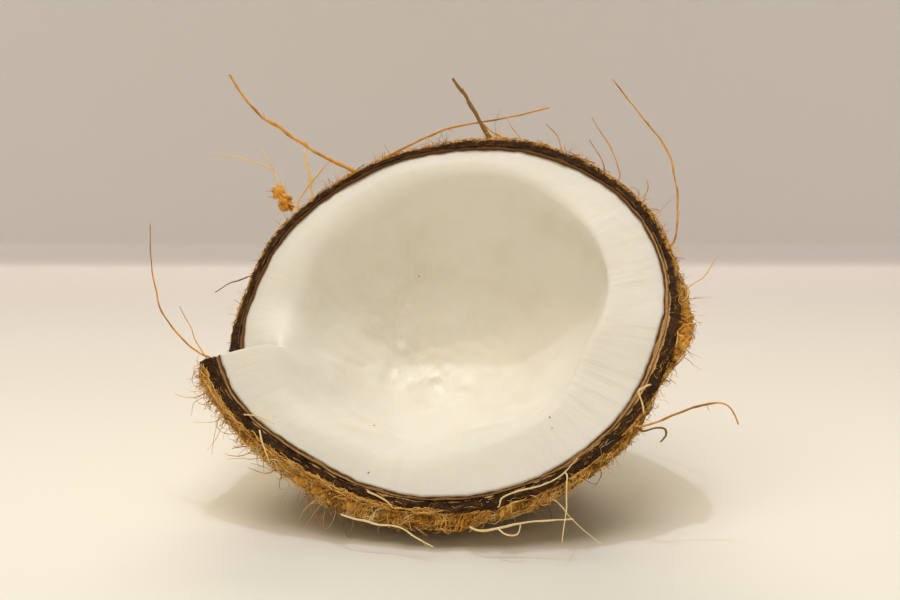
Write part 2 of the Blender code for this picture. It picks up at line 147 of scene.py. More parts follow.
# Loose strands: radius in millimetres and the places each runs through, in millimetres from the
# opening's centre: across to the right, up the opening, and out along its axis.
STRANDS = {
    "strand_top_left": (
        0.52,
        level(-6, (-34.5, 45), (-41, 48), (-47.5, 51.5), (-54.5, 56), (-62.5, 61), (-69, 67), (-75, 75)),
    ),
    "strand_top_stub": (0.70, level(-4, (2, 57.5), (-1.2, 62.5), (-5.2, 68.5), (-9.5, 74.5))),
    "strand_top_blade": (0.35, level(-7, (-25.5, 50), (-17.5, 55.5), (-9.5, 60), (4, 63.5), (18, 68))),
    "strand_top_short": (0.25, level(-5.5, (5.5, 57.5), (3, 59), (0.5, 61))),
    "strand_top_hair": (0.15, level(-4.5, (11, 57), (9, 59.5), (8, 61), (6.5, 63))),
    "strand_top_right_fine": (0.15, level(-4, (23, 53.5), (21.5, 57.5), (19.5, 59.5), (18, 61))),
    "strand_top_right_bent": (0.18, level(-3.5, (39.5, 46.5), (37, 53), (33.5, 58), (30.5, 63))),
    "strand_top_right_thin": (0.18, level(-3.5, (35, 48.5), (32.5, 52.5), (30.5, 56))),
    "strand_right_arc": (
        0.30,
        level(-3, (56, 27.5), (56, 33), (55.5, 40), (52.5, 51.5), (46.5, 60.5), (35, 75.5)),
    ),
    "strand_right_spike": (0.18, level(-3, (47, 38), (47.5, 41), (47, 44))),
    "strand_right_wire": (0.18, level(-1.2, (60.3, 8.5), (60.8, 12), (64.5, 15.5), (67, 21))),
    "strand_right_hook": (
        0.32,
        level(
            1.8, (54, -28.5), (60.5, -25), (66, -22.7), (70, -21.7), (72.5, -22.4), (74.2, -24.3),
            (75.4, -27),
        ),
    ),
    "strand_right_curl": (
        0.30,
        (
            (51.3, -29.3, 0), (53.2, -30.2, 1.4), (55.8, -29.2, 1.9), (57.8, -29.4, 1.9),
            (58.2, -31.2, 1.9), (57, -33, 1.9),
        ),
    ),
    "strand_left_whip": (
        0.26,
        level(7, (-59, -20), (-62, -19), (-67, -15.5), (-73.5, -9), (-77.5, -1.5), (-80.5, 7), (-83, 18)),
    ),
    "strand_left_thin": (0.15, level(8.2, (-60.5, -19.5), (-63, -16.5), (-65.5, -12), (-69.5, -6.5))),
    "strand_left_frond": (0.20, level(-8, (-59, 11), (-62.5, 9), (-66.5, 6))),
    "strand_crumb_long": (0.20, level(-7, (-52.5, 37.5), (-54.5, 40.5), (-57.5, 45.5), (-61, 50.5))),
    "strand_crumb_whisker": (
        0.15,
        ((-56.9, 44.3, -7), (-60, 45.6, -6.6), (-65.5, 47, -6.2), (-75, 48.5, -6.2)),
    ),
    "strand_crossed_upright": (0.30, level(-6.5, (-44.5, 37.5), (-46, 43), (-49, 51))),
    "strand_crossed_slanting": (0.26, level(-8.2, (-48, 36.5), (-45, 43), (-41.5, 49))),
    "strand_below_light": (
        0.25,
        level(5.3, (-16, -59.5), (-9, -61), (-4, -61), (1, -63.5), (5.5, -65.5)),
    ),
    "strand_below_branch": (0.28, level(3.2, (17.5, -59.5), (22, -58), (31, -56), (38, -55))),
    "strand_below_loop": (
        0.20,
        ((20, -58.8, 3.4), (22.3, -60.6, 4.3), (25, -60.4, 4.3), (25.5, -57.4, 3.4)),
    ),
    "strand_below_upright": (0.20, level(4.3, (35.5, -45.5), (36, -52.5), (36, -61.5))),
    "strand_below_right": (0.15, level(-1, (34.5, -50.5), (39, -55), (45, -59.5))),
    "strand_over_edge": (
        0.22,
        (
            (20, -53, 3.9), (20.5, -51, 3.9), (24.5, -49, 3.9), (30, -47, 3.8), (33.5, -44.5, 3.8),
            (37.5, -39.5, 3.8),
        ),
    ),
    "strand_over_skin": (0.20, level(4.4, (-12.5, -52.5), (-8.5, -54), (-6, -56))),
    "strand_right_pale": (0.28, level(3.5, (51.5, -20), (50.5, -21), (52, -24), (52.5, -26.5))),
    "strand_lower_left_a": (0.24, ((-46.5, -35.5, 7.7), (-42.5, -36, 7.8), (-38.5, -37.5, 7.5))),
    "strand_lower_left_b": (0.24, level(7.3, (-42, -39.5), (-40.5, -43), (-38, -47.5))),
}

# The shades of fibre, in the order of their paints, and words in the names of the strands that have them.
GOLDEN, TAN, PALE, DARK = range(4)
STRAND_SHADES = (
    (PALE, ("below", "over", "pale", "lower_left")),
    (DARK, ("curl", "stub", "frond")),
    (GOLDEN, ("crumb", "crossed", "wire")),
)
# How finely a strand is drawn, and the gaps to the nut over which it is led on to it.
STRAND_STEP = 0.7 * MM
ROOT_GAPS = (0.2 * MM, 9.0 * MM)

# Lights: place, then width and depth, each aimed at the lit place.
LIT_PLACE = Vector((0.0, -0.01, 0.03))
LIGHTS = (
    ("lamp", (-0.17, 0.47, 2.2), (0.06, 0.06)),
    ("top", (0.0, 0.0, 1.7), (1.0, 1.0)),
    ("left", (-0.9, -0.1, 1.5), (0.8, 0.8)),
    ("back", (0.0, 1.4, 0.9), (1.2, 0.5)),
    ("high_back", (0.0, 1.0, 1.4), (2.0, 0.5)),
)

# The table and wall reach this far to each side; painted shade darkens the table from here to the wall.
STAGE_REACH = 2.0
TABLE_SHADED_FROM = -0.08
CAMERA_PLACE = (0.00009, -0.47092, 0.182)
LOOKING_DOWN = math.radians(16.0)
LENS_LENGTH = 73.8
SENSOR_WIDTH = 36.0


def hashed(cells, seed):
    """A steady random number from -1 to 1 for each whole-number place."""
    mixed = cells[..., 0] * 73856093 ^ cells[..., 1] * 19349663 ^ cells[..., 2] * 83492791
    mixed = (mixed + seed * 265443576) * 1274126177
    mixed = (mixed ^ (mixed >> 15)) * 40503
    return ((mixed >> 7) & 0xFFFF) / 32767.5 - 1.0


def ripples(places, size, seed=0):
    """Smooth random bumps from -1 to 1, about the given size across."""
    scaled = places / size
    cell = np.floor(scaled).astype(np.int64)
    ease = scaled - cell
    ease = ease * ease * (3.0 - 2.0 * ease)
    total = np.zeros(len(places))
    for corner in range(8):
        step = np.array((corner & 1, corner >> 1 & 1, corner >> 2 & 1))
        weight = np.prod(np.where(step == 1, ease, 1.0 - ease), axis=-1)
        total = total + weight * hashed(cell + step, seed)
    return total


def swell(angle, places):
    """The sum of smooth bumps round the rim at an angle in radians."""
    total = np.zeros_like(angle)
    for centre, width, amount in places:
        apart = (np.degrees(angle) - centre + 180.0) % 360.0 - 180.0
        total = total + amount * np.exp(-0.5 * (apart / width) ** 2)
    return total


def waves(angle, kinds):
    """The sum of even waves round the nut."""
    return sum(high * np.sin(number * angle + start) for high, number, start in kinds)


def bumps(places, kinds):
    """The sum of ripples of several kinds: how high, how far across and their seed."""
    return sum(high * ripples(places, size, seed) for high, size, seed in kinds)


def wrapped(angle, height, radius):
    """Places on a plain tube round the nut's axis, for patterns that follow its surface."""
    return np.column_stack((np.cos(angle) * radius, np.sin(angle) * radius, height))


def unit(vectors, least=0.0):
    """The vectors at a length of one; those shorter than the least stay short."""
    return vectors / np.maximum(np.linalg.norm(vectors, axis=-1, keepdims=True), least)


def smooth_ramp(value, low, high):
    """Nothing up to the low end, one from the high end on, and smooth in between."""
    share = np.clip((value - low) / (high - low), 0.0, 1.0)
    return share * share * (3.0 - 2.0 * share)


def sizes():
    return bpy.context.scene.coconut_sizes


def colours():
    return bpy.context.scene.coconut_colours


def egg_radius(offset, height):
    """How wide the nut is at a height, before its ridges and the break are given to it."""
    nut = sizes()
    along = (height - WIDEST_HEIGHT) / (nut.half_length + offset)
    return (nut.radius + offset) * np.sqrt(np.clip(1.0 - along * along, 0.0, 1.0))


def behind_step(angle):
    """How far round an angle lies before the step, from nothing at the step up to a full turn."""
    return (STEP_ANGLE - angle) % math.tau


def rim_height(angle):
    """Height of the break: highest just past the step, then falling all the way round to it."""
    turned = ((angle - STEP_ANGLE) / math.tau) % 1.0
    bend = 0.5 * RIM_HIGH
    fall = RIM_HIGH - bend - RIM_LOW
    wobble = waves(angle, RIM_WAVES)
    climb = 1.0 - smooth_ramp(behind_step(angle), 0.0, STEP_WIDTH)
    climb = np.where(turned > 0.5, climb, 0.0)
    return bend * (1.0 + np.exp(-turned / RIM_CURL)) - fall * turned + wobble + climb * (RIM_HIGH - RIM_LOW)


def bunched(angle):
    """Moves the columns of a spun layer closer together at the step."""
    apart = (angle - STEP_ANGLE + math.pi) % math.tau - math.pi
    near = np.exp(-((apart / STEP_BUNCHING_WIDTH) ** 2))
    return STEP_ANGLE + apart * (1.0 - STEP_BUNCHING * near)


def flesh_outside():
    """The offset of the flesh's outside, in from the shell, the skin and the gaps beside them."""
    nut = sizes()
    return -(nut.shell_thickness + nut.skin_thickness + 2 * LAYER_GAP)


def nut_shape(angle, height, offset, setback=0.0, rise=0.0):
    """Places in the opening's own axes for points given by angle, turned height and offset."""
    nut = sizes()
    rim = rim_height(angle) - setback + rise
    height = height + rim * smooth_ramp(height, -BREAK_REACH, 0.0)
    near_rim = smooth_ramp(height, -FLESH_SWELL_REACH, 0.0)
    into_flesh = np.clip((flesh_outside() - offset) / (0.6 * nut.flesh_thickness), 0.0, 1.0)
    offset = offset - swell(angle, FLESH_SWELLS) * into_flesh * near_rim
    across_shell = np.clip(1.0 + offset / nut.shell_thickness, 0.0, 1.0)
    before_squeeze = offset
    squeeze = np.clip(offset / flesh_outside(), 0.0, 1.0) * (1.0 - into_flesh)
    offset = offset + squeeze * near_rim * (THIN_SHELL + swell(angle, THINNEST_SHELL))
    wavy = bumps(wrapped(angle, np.zeros_like(angle), nut.radius), SEAM_BUMPS)
    seam = np.clip(1.0 - np.abs(before_squeeze - flesh_outside()) / SEAM_REACH, 0.0, 1.0)
    offset = offset + seam * near_rim * SEAM_WAVES * wavy
    lower_side = 0.5 + 0.5 * np.cos(angle - SHELL_THICKEST_ANGLE)
    spread = smooth_ramp(-height, -50.0 * MM, 60.0 * MM)
    thicker_shell = SHELL_EXTRA_BELOW * lower_side * across_shell * (1.0 - spread)
    base = egg_radius(offset, height)
    closed_end = egg_radius(np.zeros_like(height), height) / nut.radius
    shape = 1.0 + closed_end * (swell(angle, RIDGES) + OVAL)
    radius = base * shape + thicker_shell * closed_end
    return np.column_stack(
        (radius * np.cos(angle), radius * np.sin(angle) - LEAN * np.minimum(height, 0.0), height)
    )


def nut_to_world():
    """From the opening's own axes to the table's."""
    tilt = Matrix.Rotation(math.pi / 2 - OPENING_RISE, 4, "X")
    turn = Matrix.Rotation(-OPENING_TURN, 4, "Z")
    return Matrix.Translation(RIM_CENTRE) @ turn @ tilt


def moved_by(transform, places):
    matrix = np.array(transform)
    return places @ matrix[:3, :3].T + matrix[:3, 3]


def to_world(places):
    return moved_by(nut_to_world(), places)


def wall_heights(offset, rows):
    """Heights of rows up one wall, from the closed end to the rim, crowded towards the rim."""
    length = sizes().half_length + offset
    last = math.acos(WIDEST_HEIGHT / length)
    shares = [1.0 - (1.0 - row / rows) ** ROW_CROWDING for row in range(rows + 1)]
    return [WIDEST_HEIGHT - length * math.cos(last * share) for share in shares]


def spun_layer(name, outer, inner, outer_rows, face_rows, inner_rows):
    """A closed cup between two offsets, spun round the nut's axis, as a mesh.

    Returns the mesh and, for each of its corners, the angle, turned height and offset.
    """
    profile = [(outer, height) for height in wall_heights(outer, outer_rows)]
    profile += [(outer + (inner - outer) * row / face_rows, 0.0) for row in range(1, face_rows)]
    profile += [(inner, height) for height in reversed(wall_heights(inner, inner_rows))]
    working = bmesh.new()
    keeps_offset = working.verts.layers.float.new("offset")
    keeps_height = working.verts.layers.float.new("height")
    last = None
    for offset, height in profile:
        radius = float(egg_radius(np.array(offset), np.array(height)))
        if height <= WIDEST_HEIGHT - (sizes().half_length + offset) + MERGE_DISTANCE:
            radius = 0.0
        corner = working.verts.new((radius, 0.0, height))
        corner[keeps_offset] = offset
        corner[keeps_height] = height
        if last is not None:
            working.edges.new((last, corner))
        last = corner
    everything = working.verts[:] + working.edges[:]
    bmesh.ops.spin(
        working,
        geom=everything,
        cent=(0.0, 0.0, 0.0),
        axis=(0.0, 0.0, 1.0),
        angle=math.tau,
        steps=COLUMNS,
        use_merge=True,
    )
    bmesh.ops.remove_doubles(working, verts=working.verts, dist=MERGE_DISTANCE)
    bmesh.ops.recalc_face_normals(working, faces=working.faces)
    mesh = finished_mesh(name, working)
    places = corner_places(mesh)
    angle = bunched(np.arctan2(places[:, 1], places[:, 0]))
    height = np.empty(len(places))
    offset = np.empty(len(places))
    mesh.attributes["height"].data.foreach_get("value", height)
    mesh.attributes["offset"].data.foreach_get("value", offset)
    return mesh, angle, height, offset


def finished_mesh(name, working):
    mesh = bpy.data.meshes.new(name)
    working.to_mesh(mesh)
    working.free()
    return mesh


def corner_places(mesh):
    flat = np.empty(len(mesh.vertices) * 3)
    mesh.vertices.foreach_get("co", flat)
    return flat.reshape(-1, 3)


def move_corners(mesh, places):
    mesh.vertices.foreach_set("co", places.ravel())
    mesh.update()


def keep_number(mesh, name, values):
    """Stores one number for each corner, for the piece's material to read."""
    layer = mesh.attributes.new(name, "FLOAT", "POINT")
    layer.data.foreach_set("value", np.asarray(values, dtype=np.float32))


def keep_vector(mesh, name, values):
    layer = mesh.attributes.new(name, "FLOAT_VECTOR", "POINT")
    layer.data.foreach_set("vector", np.asarray(values, dtype=np.float32).ravel())


def place_piece(name, mesh, paints=(), nodes=()):
    """Puts a finished mesh in the model, in place of the plain nodes it stands for."""
    for attribute in ("offset", "height"):
        if attribute in mesh.attributes:
            mesh.attributes.remove(mesh.attributes[attribute])
    for paint in paints:
        mesh.materials.append(paint)
    mesh.shade_smooth()
    piece = bpy.data.objects.new(name, mesh)
    bpy.context.scene.collection.objects.link(piece)
    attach(piece, "root")
    if nodes:
        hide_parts(*nodes)


# Paints ------------------------------------------------------------------------------------------


def new_paint(name, roughness, specular):
    paint = bpy.data.materials.new(name)
    paint.use_nodes = True
    shader = paint.node_tree.nodes["Principled BSDF"]
    shader.inputs["Roughness"].default_value = roughness
    shader.inputs["Specular IOR Level"].default_value = specular
    return paint, paint.node_tree, shader


def fill_in(tree, made, sockets):
    for socket, value in sockets.items():
        if isinstance(value, bpy.types.NodeSocket):
            tree.links.new(value, made.inputs[socket])
        else:
            made.inputs[socket].default_value = value
    return made


def own_places(tree):
    """Coordinates fixed to the piece."""
    return tree.nodes.new("ShaderNodeTexCoord").outputs["Object"]


def kept(tree, name, output="Fac"):
    """A number, or with "Vector" three numbers, stored for each corner of the mesh."""
    made = tree.nodes.new("ShaderNodeAttribute")
    made.attribute_name = name
    return made.outputs[output]


def stretched(tree, vector, scale):
    mapping = tree.nodes.new("ShaderNodeMapping")
    fill_in(tree, mapping, {"Vector": vector, "Scale": scale})
    return mapping.outputs["Vector"]


def cloudy(tree, scale, detail=3.0, roughness=0.55, distortion=0.0, places=None):
    """A cloudy pattern, fixed to the piece unless other places are given."""
    made = tree.nodes.new("ShaderNodeTexNoise")
    sockets = {"Vector": places or own_places(tree), "Scale": scale, "Detail": detail}
    sockets["Roughness"] = roughness
    sockets["Distortion"] = distortion
    return fill_in(tree, made, sockets).outputs["Fac"]


def grains(tree, scale):
    """Distance from the nearest of many scattered points, fixed to the piece."""
    made = tree.nodes.new("ShaderNodeTexVoronoi")
    return fill_in(tree, made, {"Vector": own_places(tree), "Scale": scale}).outputs["Distance"]


def between(tree, value, low, high, to_low=0.0, to_high=1.0):
    """The value turned smoothly from one range into another, and kept inside it."""
    made = tree.nodes.new("ShaderNodeMapRange")
    made.interpolation_type = "SMOOTHSTEP"
    sockets = {"Value": value, "From Min": low, "From Max": high, "To Min": to_low, "To Max": to_high}
    return fill_in(tree, made, sockets).outputs["Result"]


def worked_out(tree, kind, first, second):
    made = tree.nodes.new("ShaderNodeMath")
    made.operation = kind
    return fill_in(tree, made, {0: first, 1: second}).outputs[0]


def times(tree, first, second):
    return worked_out(tree, "MULTIPLY", first, second)


def plus(tree, first, second):
    return worked_out(tree, "ADD", first, second)


def minus(tree, first, second):
    return worked_out(tree, "SUBTRACT", first, second)


def blend_colours(tree, share, first, second):
    """The first colour where the share is nothing, turning into the second where it is whole."""
    made = tree.nodes.new("ShaderNodeMix")
    made.data_type = "RGBA"
    chosen = {"Factor": share, "A": first, "B": second}
    for socket in made.inputs:
        if not socket.enabled or socket.name not in chosen:
            continue
        value = chosen[socket.name]
        if isinstance(value, bpy.types.NodeSocket):
            tree.links.new(value, socket)
        elif socket.type == "RGBA":
            socket.default_value = (*value[:3], 1.0)
        else:
            socket.default_value = value
    return next(socket for socket in made.outputs if socket.enabled)


def raised(tree, shader, steps):
    """Bumps on the surface: each step is a pattern, its depth in metres and its strength."""
    normal = None
    for pattern, depth, strength in steps:
        made = tree.nodes.new("ShaderNodeBump")
        sockets = {"Height": pattern, "Distance": depth, "Strength": strength}
        if normal is not None:
            sockets["Normal"] = normal
        normal = fill_in(tree, made, sockets).outputs["Normal"]
    tree.links.new(normal, shader.inputs["Normal"])


def paint_flesh():
    """White flesh, streaked across the broken face, creamier and wetter in the hollow, with painted glints
    on its wet patch.
    """
    paint, tree, shader = new_paint("coconut_flesh", 0.5, 0.4)
    hues = colours()
    hollow = kept(tree, "hollow")
    wet = between(tree, kept(tree, "wet"), 0.1, 0.8)
    outer = kept(tree, "outer_band")
    grain = kept(tree, "grain", "Vector")
    streaks = cloudy(tree, 620.0, 2.0, 0.6, places=grain)
    patches = cloudy(tree, 70.0, 3.0)
    colour = blend_colours(tree, hollow, hues.flesh, hues.hollow)
    cool = times(tree, outer, between(tree, streaks, 0.3, 0.75, 0.35, 1.0))
    colour = blend_colours(tree, cool, colour, hues.flesh_edge)
    colour = blend_colours(tree, between(tree, patches, 0.45, 0.75, 0.0, 0.3), colour, hues.hollow)
    blotches = cloudy(tree, 42.0, 3.0, 0.6)
    shaded = times(tree, hollow, between(tree, blotches, 0.42, 0.66, 0.0, 0.6))
    colour = blend_colours(tree, shaded, colour, hues.hollow_shade)
    face = minus(tree, 1.0, hollow)
    faint = times(tree, face, between(tree, streaks, 0.45, 0.7, 0.0, 0.55))
    colour = blend_colours(tree, faint, colour, hues.flesh_edge)
    wide = cloudy(tree, 310.0, 3.0, 0.6, places=grain)
    marked = times(tree, kept(tree, "streaky"), between(tree, wide, 0.5, 0.75, 0.0, 0.42))
    colour = blend_colours(tree, marked, colour, hues.streak)
    # Painted glints: small near-white spots on the wet patch stand in for sparkles of light on the wet
    # flesh.
    glint_spots = between(tree, grains(tree, 1100.0), 0.14, 0.3, 1.0, 0.0)
    glint_patches = between(tree, cloudy(tree, 330.0, 2.0), 0.44, 0.58)
    painted_glints = times(tree, times(tree, glint_spots, glint_patches), wet)
    colour = blend_colours(tree, painted_glints, colour, (1.0, 1.0, 0.98, 1.0))
    fill_in(tree, shader, {"Base Color": colour})
    streak_height = times(tree, streaks, face)
    lumps = cloudy(tree, 420.0, 4.0, 0.6)
    beads = grains(tree, 800.0)
    bead_height = times(tree, between(tree, beads, 0.0, 0.45, 1.0, 0.0), wet)
    heights = ((streak_height, 0.0006, 0.2), (lumps, 0.0004, 0.2), (bead_height, 0.0005, 0.2))
    raised(tree, shader, heights)
    fill_in(tree, shader, {"Roughness": between(tree, wet, 0.0, 1.0, 0.5, 0.27)})
    shader.inputs["Subsurface Weight"].default_value = 0.3
    shader.inputs["Subsurface Radius"].default_value = (1.0, 0.85, 0.6)
    shader.inputs["Subsurface Scale"].default_value = 0.003
    return paint


def paint_skin():
    """The brown skin and the tan layers beside it, in fine uneven lines."""
    paint, tree, shader = new_paint("brown_skin", 0.7, 0.3)
    hues = colours()
    depth = kept(tree, "depth")
    wander = cloudy(tree, 260.0, 3.0)
    uneven = plus(tree, depth, between(tree, wander, 0.2, 0.8, -0.22, 0.22))
    tan = times(tree, between(tree, uneven, 0.2, 0.34), kept(tree, "tan"))
    colour = blend_colours(tree, tan, hues.skin, hues.skin_pale)
    apart = minus(tree, uneven, 0.72)
    line = between(tree, times(tree, apart, apart), 0.0, 0.006, 0.85, 0.0)
    colour = blend_colours(tree, line, colour, hues.skin)
    past_tan = minus(tree, uneven, kept(tree, "tan_end"))
    colour = blend_colours(tree, between(tree, past_tan, -0.04, 0.04), colour, hues.shell)
    flecks = cloudy(tree, 1500.0, 3.0, 0.7)
    colour = blend_colours(tree, between(tree, flecks, 0.5, 0.75, 0.0, 0.55), colour, hues.skin)
    fill_in(tree, shader, {"Base Color": colour})
    raised(tree, shader, ((flecks, 0.0005, 0.7),))
    return paint


def paint_shell():
    """Near-black shell with reddish flecks and painted glints on pale specks, and tan layers along its
    inner edge.
    """
    paint, tree, shader = new_paint("coconut_shell", 0.75, 0.18)
    hues = colours()
    depth = kept(tree, "depth")
    face = kept(tree, "face")
    wander = cloudy(tree, 330.0, 3.0)
    uneven = plus(tree, depth, between(tree, wander, 0.2, 0.8, -0.12, 0.12))
    blotches = cloudy(tree, 500.0, 4.0, 0.65)
    colour = blend_colours(tree, between(tree, blotches, 0.42, 0.7), hues.shell, hues.shell_red)
    shown_tan = times(tree, face, kept(tree, "tan"))
    past_tan = minus(tree, uneven, kept(tree, "tan_reach"))
    inner = between(tree, past_tan, -0.03, 0.03, 1.0, 0.0)
    tan = times(tree, inner, shown_tan)
    colour = blend_colours(tree, tan, colour, hues.skin_pale)
    fuzz = between(tree, cloudy(tree, 900.0, 4.0, 0.7), 0.4, 0.62)
    outer = times(tree, between(tree, uneven, 0.5, 0.9), kept(tree, "fuzzy"))
    colour = blend_colours(tree, times(tree, times(tree, outer, face), fuzz), colour, hues.coir)
    back = minus(tree, 1.0, face)
    grain = kept(tree, "grain", "Vector")
    combed = cloudy(tree, 1500.0, 4.0, 0.7, 0.5, stretched(tree, grain, (1.0, 1.0, 0.14)))
    husk = blend_colours(tree, between(tree, combed, 0.4, 0.75, 0.0, 0.75), hues.coir_dark_and_shade, hues.coir)
    colour = blend_colours(tree, back, colour, husk)
    # Painted glints: rare pale specks stand in for small sparkles of light on the shell; they are raised as
    # bumps as well.
    glint_specks = grains(tree, 1100.0)
    rare = cloudy(tree, 700.0, 2.0)
    shown = times(tree, between(tree, glint_specks, 0.08, 0.2, 1.0, 0.0), between(tree, rare, 0.56, 0.66))
    colour = blend_colours(tree, shown, colour, hues.shell_glint)
    fill_in(tree, shader, {"Base Color": colour})
    combed = times(tree, combed, back)
    raised(tree, shader, ((blotches, 0.0012, 0.8), (glint_specks, 0.0004, 0.5), (combed, 0.0008, 0.8)))
    return paint


def paint_coir():
    """Matted husk fibre, golden where it catches the light, with painted shade darkening its hollows."""
    paint, tree, shader = new_paint("coir_mat", 0.85, 0.1)
    hues = colours()
    grain = kept(tree, "grain", "Vector")
    fibres = cloudy(tree, 1900.0, 3.0, 0.7, 0.6, stretched(tree, grain, (1.0, 1.0, 0.18)))
    clumps = cloudy(tree, 240.0, 4.0, 0.6)
    colour = blend_colours(tree, between(tree, fibres, 0.42, 0.7), hues.coir_dark_and_shade, hues.coir)
    colour = blend_colours(tree, between(tree, clumps, 0.51, 0.63, 0.0, 0.9), colour, hues.pith)
    # Painted shade: the sunken parts of the mat are darkened where shade falls between the fibres.
    painted_hollow_shade = between(tree, kept(tree, "sunk"), 0.0, 1.0)
    colour = blend_colours(tree, painted_hollow_shade, colour, hues.coir_dark_and_shade)
    fill_in(tree, shader, {"Base Color": colour})
    raised(tree, shader, ((clumps, 0.002, 0.8), (fibres, 0.0008, 0.9)))
    return paint


def paint_pith():
    """Spongy husk pith, orange and golden."""
    paint, tree, shader = new_paint("husk_pith", 0.8, 0.25)
    hues = colours()
    uneven = cloudy(tree, 900.0, 4.0, 0.7)
    patches = cloudy(tree, 150.0, 2.0)
    colour = blend_colours(tree, between(tree, uneven, 0.35, 0.7), hues.pith, hues.coir)
    colour = blend_colours(tree, between(tree, patches, 0.5, 0.6, 0.0, 0.5), colour, hues.coir_gold)
    fill_in(tree, shader, {"Base Color": colour})
    raised(tree, shader, ((uneven, 0.0008, 0.9),))
    return paint


def paint_fibre(name, colour, darker):
    """One shade of husk fibre, uneven along its length."""
    paint, tree, shader = new_paint(name, 0.65, 0.15)
    uneven = cloudy(tree, 130.0, 3.0, 0.6)
    mixed = blend_colours(tree, between(tree, uneven, 0.38, 0.75, 0.0, 0.7), colour, darker)
    fill_in(tree, shader, {"Base Color": mixed})
    raised(tree, shader, ((cloudy(tree, 3000.0, 2.0), 0.0002, 0.5),))
    return paint


def fibre_paints():
    """The four shades of fibre, made once, in the order of their numbers."""
    hues = colours()
    shades = (
        ("fibre_golden", hues.coir_gold, hues.coir),
        ("fibre_tan", hues.coir_worn, hues.coir_dark_and_shade),
        ("fibre_pale", hues.fibre_pale, hues.coir_gold),
        ("fibre_dark", hues.fibre_dark, hues.coir_dark_and_shade),
    )
    return [
        bpy.data.materials.get(name) or paint_fibre(name, colour, darker)
        for name, colour, darker in shades
    ]


# Layers ------------------------------------------------------------------------------------------


def softened(angle, height, offset, inside, outside):
    """The flesh's heights and offsets with its inner edge rounded, and which corners are on its outside."""
    on_face = height > -MERGE_DISTANCE
    along = np.where(on_face, offset - inside, height)
    on_outer = (offset > outside - MERGE_DISTANCE) & ~on_face
    round_edge = SHARP_EDGE + swell(angle, SOFT_EDGES)
    near = (np.abs(along) < round_edge) & ~on_outer
    moved = (along + round_edge) ** 2 / (4.0 * round_edge)
    dropped = (round_edge - along) ** 2 / (4.0 * round_edge)
    return np.where(near, -dropped, height), np.where(near, inside + moved, offset), on_outer


def filled_up(angle, inner_share):
    """How far the flesh is raised by the wedge that fills the corner before the step."""
    before = behind_step(angle)
    fill = inner_share**1.5 * np.exp(-((before / FILL_ANGLE) ** 2)) * (before < math.pi)
    return fill * smooth_ramp(before, 0.0, STEP_WIDTH) * (RIM_HIGH - RIM_LOW)


def torn_share(places, hollow):
    """Where the hollow's lining is torn and wet."""
    from_torn = (places[:, :2] - TORN_PLACE) / TORN_REACH
    wet = np.exp(-(from_torn**2).sum(axis=1)) * hollow * (places[:, 2] < 0.0)
    return wet * (0.75 + 0.5 * ripples(places, 8.0 * MM, 8))


def hollow_bumps(places, hollow, wet):
    """How far the hollow's wall swells inwards."""
    from_dimple = np.hypot(places[:, 0] - DIMPLE_PLACE[0], places[:, 1] - DIMPLE_PLACE[1])
    dimple = np.exp(-((from_dimple / DIMPLE_REACH) ** 2)) * (places[:, 2] < 0.0)
    soft = bumps(places, HOLLOW_BUMPS) - DIMPLE_DEPTH * dimple
    return hollow * soft + wet * bumps(places, TORN_BUMPS)


def make_flesh():
    """The white flesh: broken face, soft inner edge and hollow in one closed cup."""
    nut = sizes()
    outside = flesh_outside()
    inside = outside - nut.flesh_thickness
    mesh, angle, height, offset = spun_layer("flesh_half", outside, inside, 20, 22, 92)
    height, offset, on_outer = softened(angle, height, offset, inside, outside)
    inner_share = np.clip((outside - offset) / nut.flesh_thickness, 0.0, 1.0)
    rise = filled_up(angle, inner_share)
    places = nut_shape(angle, height, offset, rise=rise)

    face = smooth_ramp(places[:, 2] - (rim_height(angle) + rise), -4.0 * MM, -0.5 * MM) * (~on_outer)
    hollow = (1.0 - face) * (~on_outer)
    wet = torn_share(places, hollow)
    streaked = np.column_stack((places[:, 0], places[:, 1], offset))
    from_axis = np.hypot(places[:, 0], places[:, 1])[:, None]
    streaked[:, :2] *= STREAK_RADIUS / np.maximum(from_axis, 0.4 * STREAK_RADIUS)
    crown = FACE_CROWN * (inner_share - 0.4) * smooth_ramp(np.sin(angle), -0.7, 0.7)
    uneven = bumps(places, FACE_BUMPS) + bumps(streaked, STREAK_BUMPS)
    out = -unit(places, 1.0 * MM) * hollow_bumps(places, hollow, wet)[:, None]
    out[:, 2] += face * (crown + uneven)
    move_corners(mesh, to_world(places + out))

    keep_number(mesh, "hollow", hollow)
    keep_number(mesh, "wet", wet)
    band = face * smooth_ramp(offset, outside - 0.7 * nut.flesh_thickness, outside)
    keep_number(mesh, "outer_band", band)
    keep_number(mesh, "streaky", face * np.minimum(swell(angle, STREAKY), 1.0))
    keep_vector(mesh, "grain", streaked * np.array((1.0, 1.0, 0.12)))
    place_piece("flesh_half", mesh, [paint_flesh()], ["flesh"])


